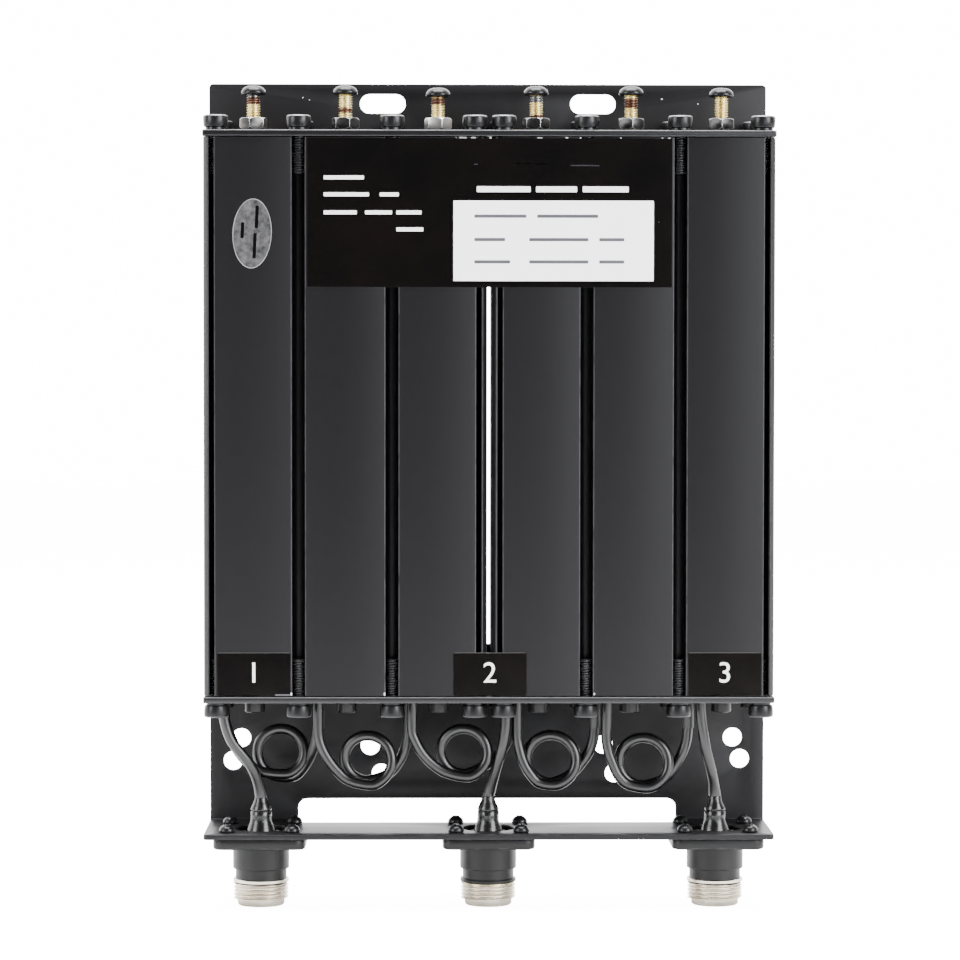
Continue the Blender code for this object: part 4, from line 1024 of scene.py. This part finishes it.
# %% [markdown]
# The print on the main label and on the sticker is laid out as rows of plain bars, so that it
# reads as printing without saying anything. A rubbed line, a few scuffs, the chips in the paint
# along the top edge and the specks on the plate are the same kind of bar, as thin as paint. Each
# row gives a bar's left end, middle height, length and thickness.
# %% Printed bars and flecks
MAIN_BARS = [(-46.2, 205.3, 11.2, 1.1), (-46.2, 200.6, 12.6, 1.1), (-30.6, 200.6, 5.3, 1.1),
             (-46.2, 195.6, 9.2, 1.1), (-34.7, 195.6, 7.5, 1.1), (-26.0, 195.6, 7.0, 1.1),
             (-26.0, 190.9, 7.5, 1.1), (-3.6, 202.1, 15.0, 1.6), (12.9, 202.1, 11.4, 1.6),
             (25.9, 202.1, 12.8, 1.6)]
STICKER_BARS = [(-4.3, 194.6, 14.5, 0.9), (13.2, 194.6, 17.0, 0.9), (-4.3, 188.1, 8.6, 0.9),
                (11.0, 188.1, 16.5, 0.9), (30.5, 188.1, 7.0, 0.9), (-4.3, 181.9, 10.0, 0.9),
                (11.0, 181.9, 16.5, 0.9), (30.5, 181.9, 7.0, 0.9)]
SCUFFS = [(7.3, 209.2, 3.9, 0.2), (12.9, 209.1, 3.3, 0.2), (22.3, 208.7, 8.3, 0.25),
          (-59.9, 60.95, 4.2, 0.4), (-74.0, 60.85, 9.0, 0.2), (-8.0, 60.85, 6.0, 0.2),
          (57.5, 60.85, 11.0, 0.2), (-4.5, 209.0, 1.2, 0.25), (47.0, 193.0, 0.3, 0.3)]
TOP_CHIPS = ((-9.57, 0.45, 0.26), (-8.65, 2.28, 0.26), (-5.31, 1.53, 0.26), (-0.14, 0.67, 0.3),
             (11.9, 0.3, 0.24), (13.19, 1.56, 0.26), (20.98, 0.92, 0.28), (24.98, 0.61, 0.28),
             (36.22, 0.56, 0.28), (47.82, 0.53, 0.28), (49.49, 1.0, 0.26))
EDGE_FLECKS = [(left, 216.4, length, thick) for left, length, thick in TOP_CHIPS]
EDGE_FLECKS += [(-55.5, 61.2, 0.35, 0.9), (-29.45, 61.2, 0.35, 0.9), (29.3, 61.2, 0.3, 0.8)]
PLATE_FLECKS = [(-53.3, 229.8, 0.4, 0.4), (-51.4, 229.1, 0.35, 0.35), (49.8, 229.6, 0.45, 0.4),
                (60.2, 228.2, 0.4, 0.35)]


def bars(name, rows, front, material):
    """Plain bars of print or bare paint, as one thin raised film."""
    printed = bmesh.new()
    for left, level, length, thick in rows:
        outline(printed, "square", (left + length / 2, level), length, thick, 0.2, 2)
    raise_sheet(printed, -front, -front + 0.02)
    stand_up(printed)
    piece(name, printed, material)


bars("main_label_print", MAIN_BARS, FILM[0], white_print)
bars("sticker_print", STICKER_BARS, STICKER[0], grey_print)
bars("label_scuffs", SCUFFS, FILM[0], grey_print)
bars("edge_flecks", EDGE_FLECKS, FILM[0], white_print)
bars("plate_flecks", PLATE_FLECKS, REAR - SHEET, white_print)

# %% [markdown]
# The port labels carry the plain numerals 1 to 3. They could be drawn as outlines too, but a text
# curve already has them, and its mesh is taken over like any other shape.
# %% Numerals on the port labels
for number, x in enumerate(PORT_LABEL_X, start=1):
    text = bpy.data.curves.new(f"port_number_{number}", "FONT")
    text.body, text.align_x, text.align_y = str(number), "CENTER", "CENTER"
    text.size, text.extrude = 8.2, 0.01
    flat = new_object("flat", text)
    bpy.context.view_layer.update()
    numeral = bmesh.new()
    numeral.from_mesh(flat.to_mesh())
    flat.to_mesh_clear()
    bpy.data.objects.remove(flat, do_unlink=True)
    move(numeral, (x, 66.9, 16.51))
    stand_up(numeral)
    piece(f"port_number_{number}", numeral, white_print)

# %% [markdown]
# A small oval seal of silver film sits on the left tube, a little turned. Its rim catches more
# light than its middle, so it is two ovals, and its three printed lines are plain dark bars.
# %% Oval seal
SEAL_PLACE, SEAL_LEAN = (-66.1, 189.7), -2.6
lean = Matrix.Rotation(math.radians(SEAL_LEAN), 3, "Z")
for name, width, height, top, material in (("seal_rim", 10.9, 19.4, 16.40, silver_rim),
                                           ("seal_face", 10.5, 19.0, 16.42, silver_film)):
    seal = bmesh.new()
    outline(seal, "round", (0, 0), 1.0, sides=64)
    bmesh.ops.scale(seal, vec=(width, height, 1), verts=seal.verts[:])
    bmesh.ops.rotate(seal, cent=(0, 0, 0), matrix=lean, verts=seal.verts[:])
    move(seal, (*SEAL_PLACE, 0))
    raise_sheet(seal, -BLOCK_FRONT, top)
    stand_up(seal)
    piece(name, seal, material)
seal = bmesh.new()
for x, level, length in ((-68.8, 190.6, 4.4), (-65.4, 186.3, 7.0), (-64.8, 194.3, 6.2)):
    outline(seal, "square", (x, level), 0.9, length, 0.2, 2, turn=SEAL_LEAN)
raise_sheet(seal, 16.42, 16.44)
stand_up(seal)
piece("seal_print", seal, gloss_film)

# %% [markdown]
# The object stands on white in a studio whose camera side is dark. The paint is so dark that nearly
# all its light is mirrored, so the places of the lamps matter more than their power. The bright
# wall behind gives the thin light rims and the pale shelf, the overhead lamp the bright upper
# edges, and the two lamps at the sides light the labels without showing in the flat fronts. The
# right wall is darker, as the right sides of the tubes show.
# %% Floor and surround
floor_paint, tree, shader = new_material("pale_floor", specular=0.1)
FLOOR_GLOW, WALL_SEEN, WALL_BEHIND, WALL_IN_FRONT = 13.0, 16.0, 6.0, 0.25
RIGHT_WALL_SHARE = 0.35
direct = node(tree, "ShaderNodeLightPath").outputs["Is Camera Ray"]
feed(tree, shader, {"Base Color": (0.86, 0.86, 0.86), "Roughness": 0.8,
                    "Emission Color": (1.0, 1.0, 1.0),
                    "Emission Strength": maths(tree, "MULTIPLY", direct, FLOOR_GLOW)})
ground = bmesh.new()
outline(ground, "square", (0, 1400), 5000, 3600)
bmesh.ops.scale(ground, vec=(MM, MM, MM), verts=ground.verts[:])
mesh = bpy.data.meshes.new("floor")
ground.to_mesh(mesh)
ground.free()
mesh.materials.append(floor_paint)
floor = new_object("floor", mesh)

world = bpy.data.worlds.new("studio")
bpy.context.scene.world = world
world.use_nodes = True
air = world.node_tree
direct = node(air, "ShaderNodeLightPath").outputs["Is Camera Ray"]
direction = node(air, "ShaderNodeTexCoord").outputs["Generated"]
parts = node(air, "ShaderNodeSeparateXYZ", {0: direction})
depth = spread(air, parts.outputs["Y"], WALL_IN_FRONT, WALL_BEHIND, start=-0.1, end=0.35)
shade = spread(air, parts.outputs["X"], 1.0, RIGHT_WALL_SHARE, start=0.3, end=0.9)
wall = maths(air, "MULTIPLY", depth, shade)
seen = maths(air, "MULTIPLY", direct, WALL_SEEN)
feed(air, air.nodes["Background"], {"Color": (1.0, 1.0, 1.0),
                                    "Strength": maths(air, "MAXIMUM", seen, wall)})
print("floor and surround:", floor.name, world.name)

# %% [markdown]
# The lamps are large soft rectangles. Their light could come from small spots, but broad lamps
# draw the long soft highlights that tell a satin cable from a glossy one. The small cool panel to
# the right of the camera is mirrored in the right part of the plate and of the last tube.
# %% Lamps


def lamp(name, place, aim, width, height, radiance, colour=(1.0, 1.0, 1.0)):
    """A soft rectangular lamp that looks at a point, as bright as its radiance says."""
    light = bpy.data.lights.new(name, "AREA")
    light.color = colour
    light.shape, light.size, light.size_y = "RECTANGLE", width, height
    light.energy = radiance * math.pi * width * height
    made = new_object(name, light)
    made.location = place
    made.rotation_euler = (Vector(aim) - Vector(place)).to_track_quat("-Z", "Y").to_euler()
    return made


LAMPS = [lamp("overhead", (0.0, -0.05, 1.3), (0, 0, 0.2), 1.1, 0.7, 32.0),
         lamp("right_front", (1.0, -0.9, 0.55), (0, 0, 0.12), 0.7, 0.9, 20.0),
         lamp("left_front", (-1.1, -0.75, 0.5), (0, 0, 0.12), 0.6, 0.8, 12.0),
         lamp("right_panel", (0.40, -1.02, 0.19), (0.07, 0, 0.14), 0.3, 0.3, 8.0,
              (0.84, 0.9, 1.0))]
print("lamps:", [made.name for made in LAMPS])
